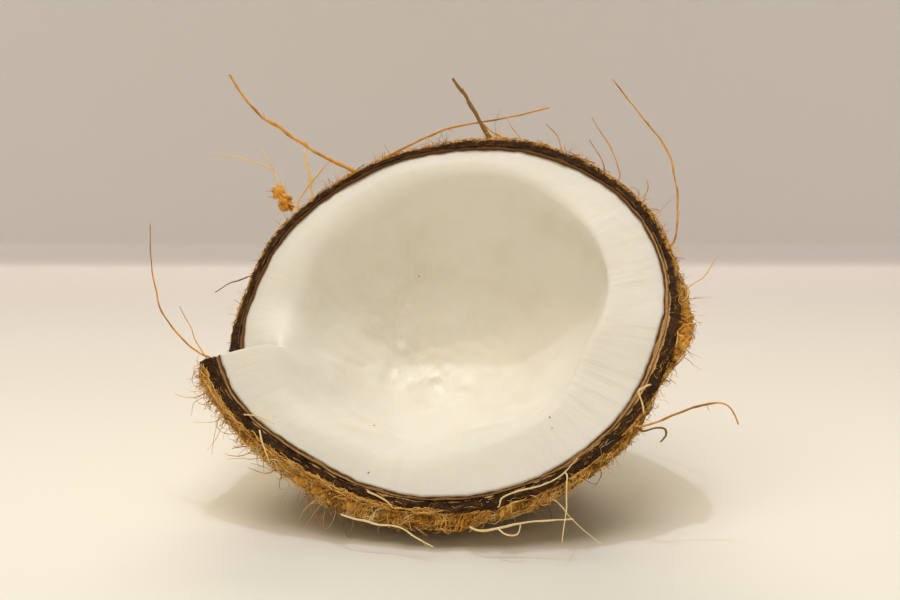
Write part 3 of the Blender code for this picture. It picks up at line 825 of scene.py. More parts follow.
def make_specks():
    """A few brown crumbs fallen on the flesh."""
    draw = np.random.default_rng(5)
    surface = corner_places(bpy.data.meshes["flesh_half"])
    working = bmesh.new()
    wanted = [(place, 0.28) for place in SPECK_PLACES]
    for _ in range(7):
        near = wanted[int(draw.integers(0, 4))][0]
        wanted.append((np.array(near) + draw.normal(0.0, 3.0, 3), draw.uniform(0.08, 0.16)))
    for place, radius in wanted:
        spot = to_world(np.array((place,)) * MM)[0]
        nearest = surface[np.argmin(np.linalg.norm(surface - spot, axis=1))]
        turn = Matrix.Rotation(draw.uniform(0.0, math.pi), 4, "Z")
        stretch = Matrix.Diagonal((1.4, 0.8, 0.7, 1.0))
        matrix = Matrix.Translation(nearest) @ turn @ stretch
        bmesh.ops.create_icosphere(working, subdivisions=1, radius=radius * MM, matrix=matrix)
    mesh = finished_mesh("flesh_specks", working)
    place_piece("flesh_specks", mesh, [fibre_paints()[DARK]])


def tan_share(angle):
    """Where the tan layers show: below and on the right, hardly at all high on the left."""
    return 0.25 + 0.75 * smooth_ramp(np.cos(angle - math.radians(300.0)), -0.35, 0.25)


def make_brown_skin():
    """The thin skin, seen at the break as tan and brown lines."""
    nut = sizes()
    outside = -(nut.shell_thickness + LAYER_GAP * 0.5)
    inside = flesh_outside() + LAYER_GAP * 0.35
    mesh, angle, height, offset = spun_layer("skin_layer", outside, inside, 16, 8, 16)
    places = nut_shape(angle, height, offset)
    face = height > -MERGE_DISTANCE
    depth = (offset - inside) / (outside - inside)
    keep_number(mesh, "tan", tan_share(angle))
    keep_number(mesh, "tan_end", 0.74 + 0.6 * swell(angle, ((332, 22, 1.0),)))
    ridge = 0.25 * MM * ripples(places, 1.3 * MM, 11) + 0.3 * MM * np.cos(depth * math.tau)
    places[:, 2] += face * ridge
    move_corners(mesh, to_world(places))
    keep_number(mesh, "depth", depth)
    place_piece("skin_layer", mesh, [paint_skin()], ["brown_skin"])


def make_shell():
    """The hard shell with its chipped face and the husk fibre left on its outside."""
    nut = sizes()
    mesh, angle, height, offset = spun_layer("shell_half", 0.0, -nut.shell_thickness, 54, 14, 16)
    places = nut_shape(angle, height, offset)
    face = smooth_ramp(height, -1.0 * MM, 0.0)
    depth = 1.0 + offset / nut.shell_thickness
    edge = smooth_ramp(depth, 0.55, 1.0)
    chipped = edge * 0.9 * MM * np.abs(ripples(places, 3.0 * MM, 24))
    places[:, 2] += face * (bumps(places, CHIP_BUMPS) - chipped)
    rough = bumps(places, ROUGH_BUMPS) * edge
    places += unit(places * np.array((1.0, 1.0, 0.0)), 1.0 * MM) * rough[:, None]
    move_corners(mesh, to_world(places))
    keep_number(mesh, "depth", depth)
    keep_number(mesh, "face", height > -MERGE_DISTANCE)
    keep_number(mesh, "tan", tan_share(angle))
    keep_number(mesh, "tan_reach", 0.03 + 0.1 * swell(angle, ((345, 22, 1.0),)))
    keep_vector(mesh, "grain", wrapped(angle, height, PATTERN_RADIUS))
    keep_number(mesh, "fuzzy", smooth_ramp(np.sin(angle - math.radians(5.0)), -0.1, 0.3))
    place_piece("shell_half", mesh, [paint_shell()], ["shell"])


def coir_setback(angle):
    """How far the coir's edge stands back from the break."""
    upper = smooth_ramp(np.sin(angle), -0.3, 0.7)
    setback = COIR_SETBACK_BELOW + (COIR_SETBACK_ABOVE - COIR_SETBACK_BELOW) * upper
    return setback + swell(angle, COIR_SETBACK_MORE)


def worn(angle):
    """How much of the coir is left: little of it high on the left, up to the step."""
    before = behind_step(angle)
    return 1.0 - 0.75 * (1.0 - smooth_ramp(before, math.radians(25), math.radians(60)))


def mat_thickness():
    return sizes().coir_thickness * MAT_SHARE


def matting(angle, height):
    """Uneven matting: a few slanting waves of unlike length, never the same twice round the nut."""
    uneven = np.sin(7.0 * angle + 60.0 * height) + np.sin(13.0 * angle - 150.0 * height + 1.3)
    return (uneven + np.sin(230.0 * height + 3.0 * angle)) / 3.0


def coir_shape(angle, height, out):
    """Places on the table's axes for points of the coir, given how far each lies out of the shell."""
    nut = sizes()
    places = nut_shape(angle, height, out, coir_setback(angle) + waves(angle, COIR_RAGS))
    outward = np.clip((out - LAYER_GAP) / nut.coir_thickness, 0.0, 1.0) * worn(angle)
    near_rim = smooth_ramp(places[:, 2], -34.0 * MM, -4.0 * MM)
    from_pole = np.clip(np.hypot(places[:, 0], places[:, 1]) / nut.radius, 0.0, 1.0)
    extra = swell(angle, COIR_SWELLS) * near_rim
    extra = extra + COIR_LUMPS * from_pole * matting(angle, places[:, 2])
    away = unit(places - np.array((0.0, 0.0, WIDEST_HEIGHT)))
    places = places + away * (extra * outward)[:, None]
    world = to_world(places)
    from_tuft = (world[:, 0] - TUFT_CENTRE.x) ** 2 / TUFT_WIDTH**2
    from_tuft = from_tuft + (world[:, 1] - TUFT_CENTRE.y) ** 2 / TUFT_LENGTH**2
    underside = smooth_ramp(-world[:, 2], -34.0 * MM, -16.0 * MM)
    world[:, 2] = world[:, 2] - TUFT_DROP * np.exp(-from_tuft) * underside * outward
    return world


def make_coir_mat():
    """The matted coir under the single fibres."""
    outer = LAYER_GAP + mat_thickness()
    mesh, angle, height, offset = spun_layer("coir_mat", outer, LAYER_GAP, 110, 5, 20)
    world = coir_shape(angle, height, offset)
    outward = np.clip((offset - LAYER_GAP) / mat_thickness(), 0.0, 1.0)
    round_nut = wrapped(angle, height, PATTERN_RADIUS)
    matted = bumps(world, MAT_BUMPS)
    matted = matted + 0.3 * np.abs(ripples(world, 2.6 * MM, 34))
    combed = ripples(round_nut * np.array((1.0, 1.0, 0.25)), 0.9 * MM, 33)
    depth = (1.5 * matted + 0.3 * combed - 0.4) * MM
    middle = to_world(np.array(((0.0, 0.0, WIDEST_HEIGHT),)))[0]
    world = world + unit(world - middle) * (depth * outward)[:, None]
    world[:, 2] = np.where(outward > 0.0, np.maximum(world[:, 2], 0.0), world[:, 2])
    move_corners(mesh, world)
    # Painted shade: how sunken each corner is, which the mat's paint darkens as shade.
    keep_number(mesh, "sunk", smooth_ramp(-matted, -0.05, 0.45))
    keep_vector(mesh, "grain", round_nut)
    place_piece("coir_matting", mesh, [paint_coir()], ["coir_mat"])


# Fibres ------------------------------------------------------------------------------------------


def drawn_mesh(name, curve):
    """The solid of a curve, with the curve's own paints."""
    drawn = bpy.data.objects.new(name, curve)
    bpy.context.scene.collection.objects.link(drawn)
    bpy.context.view_layer.update()
    seen = drawn.evaluated_get(bpy.context.evaluated_depsgraph_get())
    mesh = bpy.data.meshes.new_from_object(seen)
    bpy.data.objects.remove(drawn)
    mesh.name = name
    working = bmesh.new()
    working.from_mesh(mesh)
    bmesh.ops.remove_doubles(working, verts=working.verts, dist=MERGE_DISTANCE * 0.1)
    working.to_mesh(mesh)
    working.free()
    return mesh


def add_line(curve, places, radii):
    """One straight-sided line of a curve through the places."""
    spline = curve.splines.new("POLY")
    spline.points.add(len(places) - 1)
    spline.points.foreach_set("co", np.column_stack((places, np.ones(len(places)))).ravel())
    spline.points.foreach_set("radius", radii)
    return spline


def fibre_outline():
    """The three-sided outline that thin fibres are drawn out from."""
    outline = bpy.data.curves.new("fibre_outline", "CURVE")
    spline = outline.splines.new("POLY")
    spline.points.add(2)
    for side, point in enumerate(spline.points):
        turn = -side * math.tau / 3
        point.co = (math.cos(turn), math.sin(turn), 0.0, 1.0)
    spline.use_cyclic_u = True
    return bpy.data.objects.new("fibre_outline", outline)


def fibre_mesh(name, routes, radii, shades):
    """Many thin tapering fibres as one mesh: routes is fibres by points by three."""
    curve = bpy.data.curves.new(name, "CURVE")
    curve.dimensions = "3D"
    curve.bevel_mode = "OBJECT"
    curve.bevel_object = fibre_outline()
    curve.use_fill_caps = True
    for paint in fibre_paints():
        curve.materials.append(paint)
    count = routes.shape[1]
    taper = 1.0 - 0.65 * (np.arange(count) / (count - 1)) ** 1.5
    for route, radius, shade in zip(routes, radii, shades):
        add_line(curve, route, radius * taper).material_index = int(shade)
    mesh = drawn_mesh(name, curve)
    bpy.data.objects.remove(curve.bevel_object)
    return mesh


def mat_surface(angle, along, lift):
    """Places on the coir: down its outside where along is below nothing, over its broken edge above.

    Lift raises them off the surface.
    """
    thickness = mat_thickness()
    over = smooth_ramp(along, -0.8 * MM, 0.6 * MM)
    lift = lift * worn(angle)
    out = LAYER_GAP + thickness - np.clip(along, 0.0, thickness) + lift * (1.0 - over)
    axis = np.array(nut_to_world())[:3, 2]
    return coir_shape(angle, np.minimum(along, 0.0), out) + axis * (lift * over)[:, None]


def matted_fibres(draw, count, degrees, span, length, slant, lift, steps=7):
    """Fibres lying in the mat, each crossing it in its own direction with its own bend."""
    angle = np.radians(draw.uniform(*degrees, count))
    along = draw.uniform(*span, count) * MM
    spot = wrapped(angle, along, 60.0 * MM)
    heading = slant + 1.7 * ripples(spot, 8.0 * MM, 51) + draw.normal(0.0, 0.4, count)
    reach = length * draw.uniform(0.45, 1.4, count)
    part = np.linspace(-0.5, 0.5, steps)
    curve = draw.normal(0.0, 1.3, count)
    turning = heading[:, None] + curve[:, None] * part + draw.normal(0.0, 0.35, (count, steps))
    stride = (reach / (steps - 1))[:, None]
    across = np.cumsum(np.cos(turning) * stride, axis=1)
    down = np.cumsum(np.sin(turning) * stride, axis=1)
    ring = egg_radius(np.zeros(count), np.minimum(along, 0.0)) + 4.0 * MM
    turned = angle[:, None] + across / ring[:, None]
    down = along[:, None] + down
    down = np.minimum(down, mat_thickness())
    lock = 1.3 * MM * np.clip(ripples(spot, 4.5 * MM, 52), -0.6, 1.0)
    rise = lift * draw.normal(0.25, 0.6, (count, 1)) + lift * draw.normal(0.0, 0.4, (count, steps))
    rise += lock[:, None]
    loose = draw.random(count) < 0.22
    rise[:, -1] += np.where(loose, draw.uniform(1.0, 3.0, count) * lift, 0.0)
    rise[:, -2] += np.where(loose, draw.uniform(0.3, 1.2, count) * lift, 0.0)
    flat = mat_surface(turned.ravel(), down.ravel(), rise.ravel())
    return flat.reshape(count, steps, 3)


def above_table(routes, radii):
    """Keeps every fibre clear of the table the nut rests on."""
    routes[:, :, 2] = np.maximum(routes[:, :, 2], radii[:, None])
    return routes


def make_coir_fibres():
    """The fibres of the mat itself, in seven zones."""
    draw = np.random.default_rng(71)
    # Each zone: degrees round the nut, millimetres up it, how many, how long, how slanting, how lifted.
    spans = (
        ("coir_fibres_left", (197, 262), (-9, 1.6), 2200, 6.5, 0.5, 0.6),
        ("coir_fibres_under", (258, 322), (-10, 1.6), 1900, 8.0, 0.35, 0.5),
        ("coir_fibres_right", (318, 374), (-12, 1.6), 1500, 7.0, 0.7, 0.4),
        ("coir_fibres_top", (10, 200), (-14, 0.0), 1350, 7.0, 0.7, 0.3),
        ("coir_fibres_below", (180, 370), (-34, -8), 2400, 13.0, 1.1, 0.4),
        ("coir_fibres_behind", (0, 190), (-36, -8), 2100, 14.0, 1.2, 0.4),
        ("coir_fibres_closed_end", (0, 360), (-46, -30), 1150, 12.0, 1.2, 0.4),
    )
    for name, degrees, span, count, length, slant, lift in spans:
        routes = matted_fibres(draw, count, degrees, span, length * MM, slant, lift * MM)
        radii = (0.07 + 0.19 * draw.random(count) ** 2) * MM
        middles = routes[:, routes.shape[1] // 2]
        tone = ripples(middles, 2.6 * MM, 55) + 0.5 * ripples(middles, 7.0 * MM, 56)
        tone = tone + draw.normal(0.0, 0.28, count)
        shades = np.select((tone > 0.55, tone > -0.02, tone > -0.36), (PALE, GOLDEN, TAN), DARK)
        mesh = fibre_mesh(name, above_table(routes, radii), radii, shades)
        place_piece(name, mesh)


def stray_fibres(draw, count, angle, along, length, spring, curliness, steps=9):
    """Fibres that stand out of the mat from given places, curling as they go."""
    lower = mat_surface(angle, along, np.full(count, -0.5 * MM))
    upper = mat_surface(angle, along, np.full(count, 0.8 * MM))
    out = unit(upper - lower)
    side = unit(np.cross(out, draw.normal(0.0, 1.0, (count, 3))))
    heading = unit(out * spring[:, None] + side)
    curl = draw.normal(0.0, curliness, (count, 3))
    places = np.empty((count, steps, 3))
    places[:, 0] = lower
    for step in range(1, steps):
        places[:, step] = places[:, step - 1] + heading * (length / (steps - 1))[:, None]
        heading = heading + np.cross(curl, heading) + draw.normal(0.0, 0.16, (count, 3))
        heading[:, 2] -= 0.03
        heading = unit(heading)
    return places


def make_frizz():
    """Curling hairs that stand off the mat, thickest low on the left."""
    draw = np.random.default_rng(29)
    # Each patch: how many, degrees round the nut, millimetres up it, lengths in millimetres, how
    # straight out they spring, how much they curl and how stout they are.
    zones = {
        "frizz_left": (
            (420, (197, 222), (-6, 1.3), (2.5, 8.0), (0.2, 1.0), 0.5, 1.0),
            (420, (222, 262), (-7, 1.3), (2.5, 8.0), (0.2, 0.9), 0.48, 1.0),
            (46, (205, 250), (-9, 0.0), (7.0, 13.0), (0.6, 1.4), 0.16, 1.5),
            (200, (262, 318), (-10, 1.3), (2.0, 6.5), (0.1, 0.8), 0.4, 1.0),
            (22, (240, 300), (-9, -2.0), (6.0, 12.0), (0.5, 1.2), 0.16, 1.3),
        ),
        "frizz_right": (
            (200, (318, 350), (-8, 1.3), (2.0, 5.0), (0.2, 0.9), 0.42, 1.0),
            (18, (310, 350), (-9, -3.0), (3.5, 7.0), (0.9, 1.6), 0.3, 1.8),
            (230, (353, 371), (-8, 1.3), (1.5, 5.5), (0.3, 1.3), 0.48, 1.0),
            (26, (352, 371), (-8, 0.0), (4.0, 7.5), (0.8, 1.6), 0.25, 1.4),
            (110, (14, 100), (-7, 0), (3.0, 9.0), (0.4, 1.6), 0.25, 1.0),
            (120, (100, 198), (-7, 0), (3.0, 9.0), (0.4, 1.6), 0.25, 1.0),
        ),
        "frizz_behind": ((620, (0, 360), (-46, -9), (2.5, 9.0), (0.2, 1.0), 0.25, 1.1),),
    }
    for name, patches in zones.items():
        routes = []
        radii = []
        for count, degrees, span, lengths, springs, curliness, stout in patches:
            angle = np.radians(draw.uniform(*degrees, count))
            along = draw.uniform(*span, count) * MM
            length = draw.uniform(*lengths, count) * MM
            spring = draw.uniform(*springs, count)
            routes.append(stray_fibres(draw, count, angle, along, length, spring, curliness))
            radii.append(draw.uniform(0.05, 0.13, count) * stout * MM)
        routes = np.concatenate(routes)
        radii = np.concatenate(radii)
        shades = draw.choice(4, len(routes), p=(0.42, 0.3, 0.13, 0.15))
        place_piece(name, fibre_mesh(name, above_table(routes, radii), radii, shades))


def lying_fibres(draw, count, degrees, offsets, lifts, length):
    """Fibres lying along the shell's broken face, given how far across and above it they lie."""
    angle = np.radians(draw.uniform(*degrees, count))
    offset = draw.uniform(*offsets, count) * sizes().shell_thickness
    reach = length * draw.uniform(0.3, 1.5, count) * MM
    turned = angle[:, None] + np.linspace(-0.5, 0.5, 5) * (reach / PATTERN_RADIUS)[:, None]
    depth = offset[:, None] + draw.normal(0.0, 0.16, (count, 5)) * MM
    places = nut_shape(turned.ravel(), np.zeros(count * 5), depth.ravel()).reshape(count, 5, 3)
    places[:, :, 2] += draw.uniform(*lifts, (count, 1)) * MM + draw.uniform(0.0, 0.15, (count, 5)) * MM
    return places


def drifting(draw, roots, heading, length, steps, drift):
    """Routes from the roots in so many equal steps, each a little off the one before."""
    routes = [roots]
    for _ in range(steps):
        heading = unit(heading)
        routes.append(routes[-1] + heading * (length / steps)[:, None])
        heading = heading + draw.normal(0.0, drift, heading.shape)
    return np.stack(routes, axis=1)


def edge_hairs(draw, count):
    """Short hairs that stand off the shell's upper edge."""
    angle = np.radians(draw.uniform(0, 202, count))
    height = -draw.uniform(0.1, 3.5, count) ** 1.1 * MM
    root = nut_shape(angle, height, np.full(count, -0.2 * MM))
    out = np.column_stack((np.cos(angle), np.sin(angle), draw.uniform(-0.6, 1.0, count)))
    heading = out + draw.normal(0.0, 0.6, (count, 3))
    length = draw.uniform(0.8, 3.2, count) * MM
    long = draw.random(count) < 0.05 + swell(angle, ((148, 16, 0.07),))
    length = np.where(long, length * 2.2, length)
    tufts = smooth_ramp(ripples(root, 5.0 * MM, 61), -0.1, 0.5)
    return drifting(draw, root, heading, length * (0.4 + 1.1 * tufts), 4, 0.3)


def make_rim_fuzz():
    """Short hairs along the shell's upper edge, and fine fibres lying on its broken face."""
    draw = np.random.default_rng(47)
    # Each kind: how many, their radii, the shares of the four shades and, where they lie on the face,
    # the degrees round the nut, how far across the shell, how high above it and how long.
    kinds = (
        (1200, (0.05, 0.12), (0.4, 0.36, 0.06, 0.18), None),
        (110, (0.035, 0.07), (0.15, 0.4, 0.1, 0.35), ((203, 375), (-0.75, -0.02), (0.0, 0.5), 2.2)),
        (520, (0.06, 0.13), (0.42, 0.38, 0.05, 0.15), ((4, 189), (-0.22, 0.12), (-1.6, 0.25), 3.2)),
        (380, (0.06, 0.15), (0.5, 0.38, 0.04, 0.08), ((203, 275), (-0.32, 0.12), (-0.2, 0.8), 4.0)),
    )
    made = [
        lying_fibres(draw, count, *lying) if lying else edge_hairs(draw, count)
        for count, _, _, lying in kinds
    ]
    routes = np.concatenate(made)
    routes = to_world(routes.reshape(-1, 3)).reshape(routes.shape)
    radii = np.concatenate([draw.uniform(*widths, count) for count, widths, _, _ in kinds]) * MM
    shades = np.concatenate([draw.choice(4, count, p=shares) for count, _, shares, _ in kinds])
    place_piece("rim_fuzz", fibre_mesh("rim_fuzz", routes, radii, shades))


def make_pith_nodules():
    """Small uneven grains of husk pith caught in the mat."""
    draw = np.random.default_rng(83)
    # Each zone: how many, degrees round the nut, millimetres up it and widths in millimetres.
    zones = (
        (70, (196, 228), (-7, 1.0), (0.3, 0.8)),
        (120, (232, 258), (-6, 1.2), (0.4, 1.7)),
        (70, (262, 312), (-8, 1.2), (0.3, 1.2)),
        (50, (312, 352), (-7, 1.0), (0.3, 0.8)),
        (120, (351, 368), (-7, 1.2), (0.5, 1.9)),
        (160, (0, 360), (-44, -10), (0.3, 1.1)),
    )
    working = bmesh.new()
    for count, degrees, span, widths in zones:
        angle = np.radians(draw.uniform(*degrees, count))
        along = draw.uniform(*span, count) * MM
        spots = mat_surface(angle, along, draw.uniform(-0.4, 0.4, count) * MM)
        for spot in spots:
            width = 0.62 * draw.uniform(*widths) * MM
            spin = Matrix.Rotation(draw.uniform(0.0, math.tau), 4, Vector(draw.normal(0.0, 1.0, 3)))
            stretch = Matrix.Diagonal((*draw.uniform(0.5, 1.4, 3), 1.0))
            place = Vector((spot[0], spot[1], max(spot[2], width * 1.6)))
            matrix = Matrix.Translation(place) @ spin @ stretch
            fineness = 1 if width < 0.5 * MM else 2
            bmesh.ops.create_icosphere(working, subdivisions=fineness, radius=width, matrix=matrix)
    mesh = finished_mesh("pith_nodules", working)
    places = corner_places(mesh)
    rough = [ripples(places, 0.6 * MM, seed) for seed in (91, 92, 93)]
    places = places + np.column_stack(rough) * 0.35 * MM
    places[:, 2] = np.maximum(places[:, 2], 0.0)
    move_corners(mesh, places)
    place_piece("pith_nodules", mesh, [paint_pith()])


def smooth_route(places, step):
    """Evenly spaced points on a smooth curve through the places, first and last included."""
    ends = [2 * places[0] - places[1], *places, 2 * places[-1] - places[-2]]
    dense = []
    for before, start, end, after in zip(ends, ends[1:], ends[2:], ends[3:]):
        for part in range(24):
            t = part / 24
            bend = 2 * before - 5 * start + 4 * end - after
            twist = 3 * start - before - 3 * end + after
            dense.append(0.5 * (2 * start + (end - before) * t + bend * t**2 + twist * t**3))
    dense.append(places[-1])
    dense = np.array(dense)
    walked = np.concatenate(([0.0], np.cumsum(np.linalg.norm(np.diff(dense, axis=0), axis=1))))
    count = max(6, round(walked[-1] / step))
    marks = np.linspace(0.0, walked[-1], count + 1)
    return np.column_stack([np.interp(marks, walked, dense[:, axis]) for axis in range(3)])


def strand_shade(name):
    """The shade a strand is known to have by a word in its name, or else tan."""
    for shade, words in STRAND_SHADES:
        if any(word in name for word in words):
            return shade
    return TAN


def rooted(name, places):
    """The strand's own places, led on from the nearer end to where it comes out of the nut.

    The loop below hangs on another strand, so it isn't led on.
    """
    holders = [corner_places(bpy.data.meshes[holder]) for holder in ("coir_mat", "shell_half")]
    surface = np.concatenate(holders)
    gaps = [np.linalg.norm(surface - places[end], axis=1).min() for end in (0, -1)]
    end = 0 if gaps[0] <= gaps[1] else -1
    gap = min(gaps)
    if not ROOT_GAPS[0] <= gap <= ROOT_GAPS[1] or name == "strand_below_loop":
        return list(places)
    away = places[end] - places[1 if end == 0 else -2]
    ahead = places[end] + unit(away) * gap
    root = surface[np.argmin(np.linalg.norm(surface - ahead, axis=1))]
    halfway = 0.35 * (places[end] + root) + 0.3 * ahead
    return [root, halfway, *places] if end == 0 else [*places, halfway, root]


def make_strand(name, radius, places):
    """One loose strand: a long fibre, uneven in width, with a few hairs split off it."""
    draw = np.random.default_rng(sum(ord(letter) for letter in name))
    route = smooth_route(rooted(name, to_world(np.array(places) * MM)), STRAND_STEP)
    count = len(route)
    wobble = np.column_stack([ripples(route, 4.0 * MM, seed) for seed in (1, 2, 3)])
    fade = np.sin(np.linspace(0.0, math.pi, count))[:, None]
    route = route + wobble * fade * 0.35 * MM
    curve = bpy.data.curves.new(name, "CURVE")
    curve.dimensions = "3D"
    curve.bevel_depth = 1.0
    curve.bevel_resolution = 1
    curve.use_fill_caps = True
    thickness = 1.0 - 0.4 * np.linspace(0.0, 1.0, count) ** 2
    thickness = thickness * (1.0 + 0.28 * ripples(route, 1.6 * MM, 7))
    add_line(curve, route, radius * MM * thickness)
    for _ in range(int(count * radius / 8)):
        start = int(draw.integers(1, count - 2))
        heading = unit(route[start + 1] - route[start] + draw.normal(0.0, 0.45 * MM, 3))
        hair = [route[start]]
        for _ in range(4):
            hair.append(hair[-1] + heading * draw.uniform(0.3, 0.8) * MM)
            heading = unit(heading + draw.normal(0.0, 0.25, 3))
        add_line(curve, hair, np.linspace(0.3, 0.12, 5) * min(radius, 0.35) * MM)
    curve.materials.append(fibre_paints()[strand_shade(name)])
    mesh = drawn_mesh(name, curve)
    place_piece(name.replace("strand", "fibre"), mesh, nodes=[name])


def make_husk_crumb():
    """The lump of husk pith: two rough balls run together."""
    working = bmesh.new()
    bmesh.ops.create_icosphere(working, subdivisions=5, radius=1.0)
    mesh = finished_mesh("pith_lump", working)
    places = corner_places(mesh)
    rough = 0.92 + 0.3 * ripples(places, 0.6, 41) + 0.22 * ripples(places, 0.22, 42)
    rough = rough + 0.1 * ripples(places, 0.1, 43)
    waist = 1.0 - 0.5 * np.exp(-(((places[:, 0] - 0.1) / 0.3) ** 2))
    places = places * np.column_stack((rough, rough * waist, rough * waist))
    places = places * np.array(CRUMB_SIZE)
    place = nut_to_world() @ Matrix.Translation(CRUMB_PLACE) @ Matrix.Rotation(CRUMB_SLANT, 4, "Z")
    move_corners(mesh, moved_by(place, places))
    paint = bpy.data.materials.get("husk_pith") or paint_pith()
    place_piece("pith_lump", mesh, [paint], ["husk_crumb"])
    make_crumb_hairs(corner_places(mesh), np.array(place.translation))


def make_crumb_hairs(surface, middle):
    """Hairs all round the lump of pith; the first few reach across to the shell and hold it."""
    count = 60
    holding = slice(0, 8)
    draw = np.random.default_rng(13)
    roots = surface[draw.integers(0, len(surface), count)]
    heading = roots - middle + draw.normal(0.0, 1.2 * MM, (count, 3))
    length = draw.uniform(0.8, 3.6, count) * MM
    rim = corner_places(bpy.data.meshes["shell_half"])
    nearest = rim[np.argmin(np.linalg.norm(rim - middle, axis=1))]
    across = nearest - roots[holding]
    heading[holding] = across + draw.normal(0.0, 1.5 * MM, across.shape)
    length[holding] = np.linalg.norm(across, axis=1) + 1.0 * MM
    routes = drifting(draw, roots, heading, length, 7, 0.16)
    radii = draw.uniform(0.05, 0.12, count) * MM
    shades = draw.choice(4, count, p=(0.6, 0.3, 0.1, 0.0))
    place_piece("pith_hairs", fibre_mesh("pith_hairs", routes, radii, shades))


# Stage -------------------------------------------------------------------------------------------


def make_stage():
    """Table, wall, lights and camera."""
    stage = bpy.context.scene.coconut_stage
    table_end = stage.wall_distance - 2.0 * stage.wall_bend
    paint = paint_table_and_wall(stage)
    place_sheet("table", table_quads(table_end), paint)
    # The wall lets the low light behind it through, as a thin screen does.
    wall = place_sheet("wall", wall_sheet(stage, table_end), seen_from_front(paint))
    wall.visible_shadow = False
    for name, place, size in LIGHTS:
        add_light(name, place, size, getattr(stage, name + "_power"), getattr(stage, name + "_colour"))
    light_room(stage)
    add_camera()


def wall_sheet(stage, table_end):
    """The far strip of table, running up into the wall in a bend."""
    half = STAGE_REACH
    rows = ((table_end, 0.0), (stage.wall_distance, 0.0), (stage.wall_distance, stage.wall_height))
    working = bmesh.new()
    lines = [[working.verts.new((side, y, z)) for side in (-half, half)] for y, z in rows]
    for (left, right), (next_left, next_right) in zip(lines, lines[1:]):
        working.faces.new((left, right, next_right, next_left))
    shared = [edge for edge in working.edges if len(edge.link_faces) == 2]
    bmesh.ops.bevel(
        working,
        geom=shared,
        offset=stage.wall_bend,
        segments=12,
        profile=0.5,
        affect="EDGES",
        material=-1,
    )
    return working


def table_quads(table_end):
    """The table in front of the wall, and a hair lower the table that goes on behind it."""
    half = STAGE_REACH
    working = bmesh.new()
    for near, far, low in ((-half, table_end, 0.0), (table_end, half, -0.2 * MM)):
        flat = ((-half, near, low), (half, near, low), (half, far, low), (-half, far, low))
        working.faces.new([working.verts.new(place) for place in flat])
    return working


def place_sheet(name, working, paint):
    mesh = finished_mesh(name, working)
    mesh.shade_smooth()
    mesh.materials.append(paint)
    sheet = bpy.data.objects.new(name, mesh)
    bpy.context.scene.collection.objects.link(sheet)
    return sheet


def paint_table_and_wall(stage):
    """Plain and pale, with painted shade darkening the table towards the wall."""
    paint, tree, shader = new_paint("table_and_wall", 0.7, 0.25)
    split = fill_in(tree, tree.nodes.new("ShaderNodeSeparateXYZ"), {0: own_places(tree)})
    wall_share = between(tree, split.outputs["Z"], 0.0, stage.wall_bend)
    # Painted shade: the table darkens towards the wall, standing in for the light falling off.
    far = between(tree, split.outputs["Y"], TABLE_SHADED_FROM, stage.wall_distance)
    colour = blend_colours(tree, far, stage.table_colour, stage.table_far_shade_colour)
    colour = blend_colours(tree, wall_share, colour, stage.wall_colour)
    fill_in(tree, shader, {"Base Color": colour})
    return paint


def light_room(stage):
    """Faint light from every side of the room, and more of it from the front."""
    world = bpy.data.worlds.new("studio")
    bpy.context.scene.world = world
    world.use_nodes = True
    tree = world.node_tree
    sky = tree.nodes["Background"]
    sky.inputs["Color"].default_value = (*stage.room_colour[:3], 1.0)
    around = tree.nodes.new("ShaderNodeTexCoord")
    split = fill_in(tree, tree.nodes.new("ShaderNodeSeparateXYZ"), {0: around.outputs["Generated"]})
    front = between(tree, split.outputs["Y"], -1.0, 0.0, 1.0, 0.0)
    lit = times(tree, times(tree, front, front), stage.room_strength)
    tree.links.new(plus(tree, lit, stage.room_dim), sky.inputs["Strength"])


def add_camera():
    lens = bpy.data.cameras.new("view")
    lens.lens = LENS_LENGTH
    lens.sensor_width = SENSOR_WIDTH
    camera = bpy.data.objects.new("view", lens)
    bpy.context.scene.collection.objects.link(camera)
    camera.location = CAMERA_PLACE
    camera.rotation_euler = (math.pi / 2 - LOOKING_DOWN, 0.0, 0.0)
    bpy.context.scene.camera = camera
    bpy.context.scene.view_settings.view_transform = "Standard"


def seen_from_front(paint):
    """A copy of the paint that is clear from behind, so the wall never hides the nut."""
    wall_paint = paint.copy()
    wall_paint.name = "wall_from_front"
    tree = wall_paint.node_tree
    mixed = tree.nodes.new("ShaderNodeMixShader")
    behind = tree.nodes.new("ShaderNodeNewGeometry").outputs["Backfacing"]
    clear = tree.nodes.new("ShaderNodeBsdfTransparent").outputs["BSDF"]
    shown = tree.nodes["Principled BSDF"].outputs["BSDF"]
    fill_in(tree, mixed, {0: behind, 1: shown, 2: clear})
    tree.links.new(mixed.outputs["Shader"], tree.nodes["Material Output"].inputs["Surface"])
    return wall_paint


def add_light(name, place, size, power, colour):
    """A flat light of the given width and depth, aimed at the nut, its width level."""
    data = bpy.data.lights.new(name, "AREA")
    data.shape = "RECTANGLE"
    data.size, data.size_y = size
    data.energy = power
    data.color = colour[:3]
    light = bpy.data.objects.new(name, data)
    bpy.context.scene.collection.objects.link(light)
    light.location = place
    light.rotation_euler = (LIT_PLACE - Vector(place)).to_track_quat("-Z", "Y").to_euler()


# Settings, operators and panel -------------------------------------------------------------------


def length(name, description, default):
    return bpy.props.FloatProperty(
        name=name, description=description, default=default, unit="LENGTH", precision=4
    )


def share(name, description, default):
    return bpy.props.FloatProperty(name=name, description=description, default=default, min=0.0)


def power(name, description, default):
    return bpy.props.FloatProperty(
        name=name, description=description, default=default, unit="POWER"
    )


def hue(name, description, default):
    return bpy.props.FloatVectorProperty(
        name=name, description=description, default=default, subtype="COLOR", min=0.0, max=1.0
    )


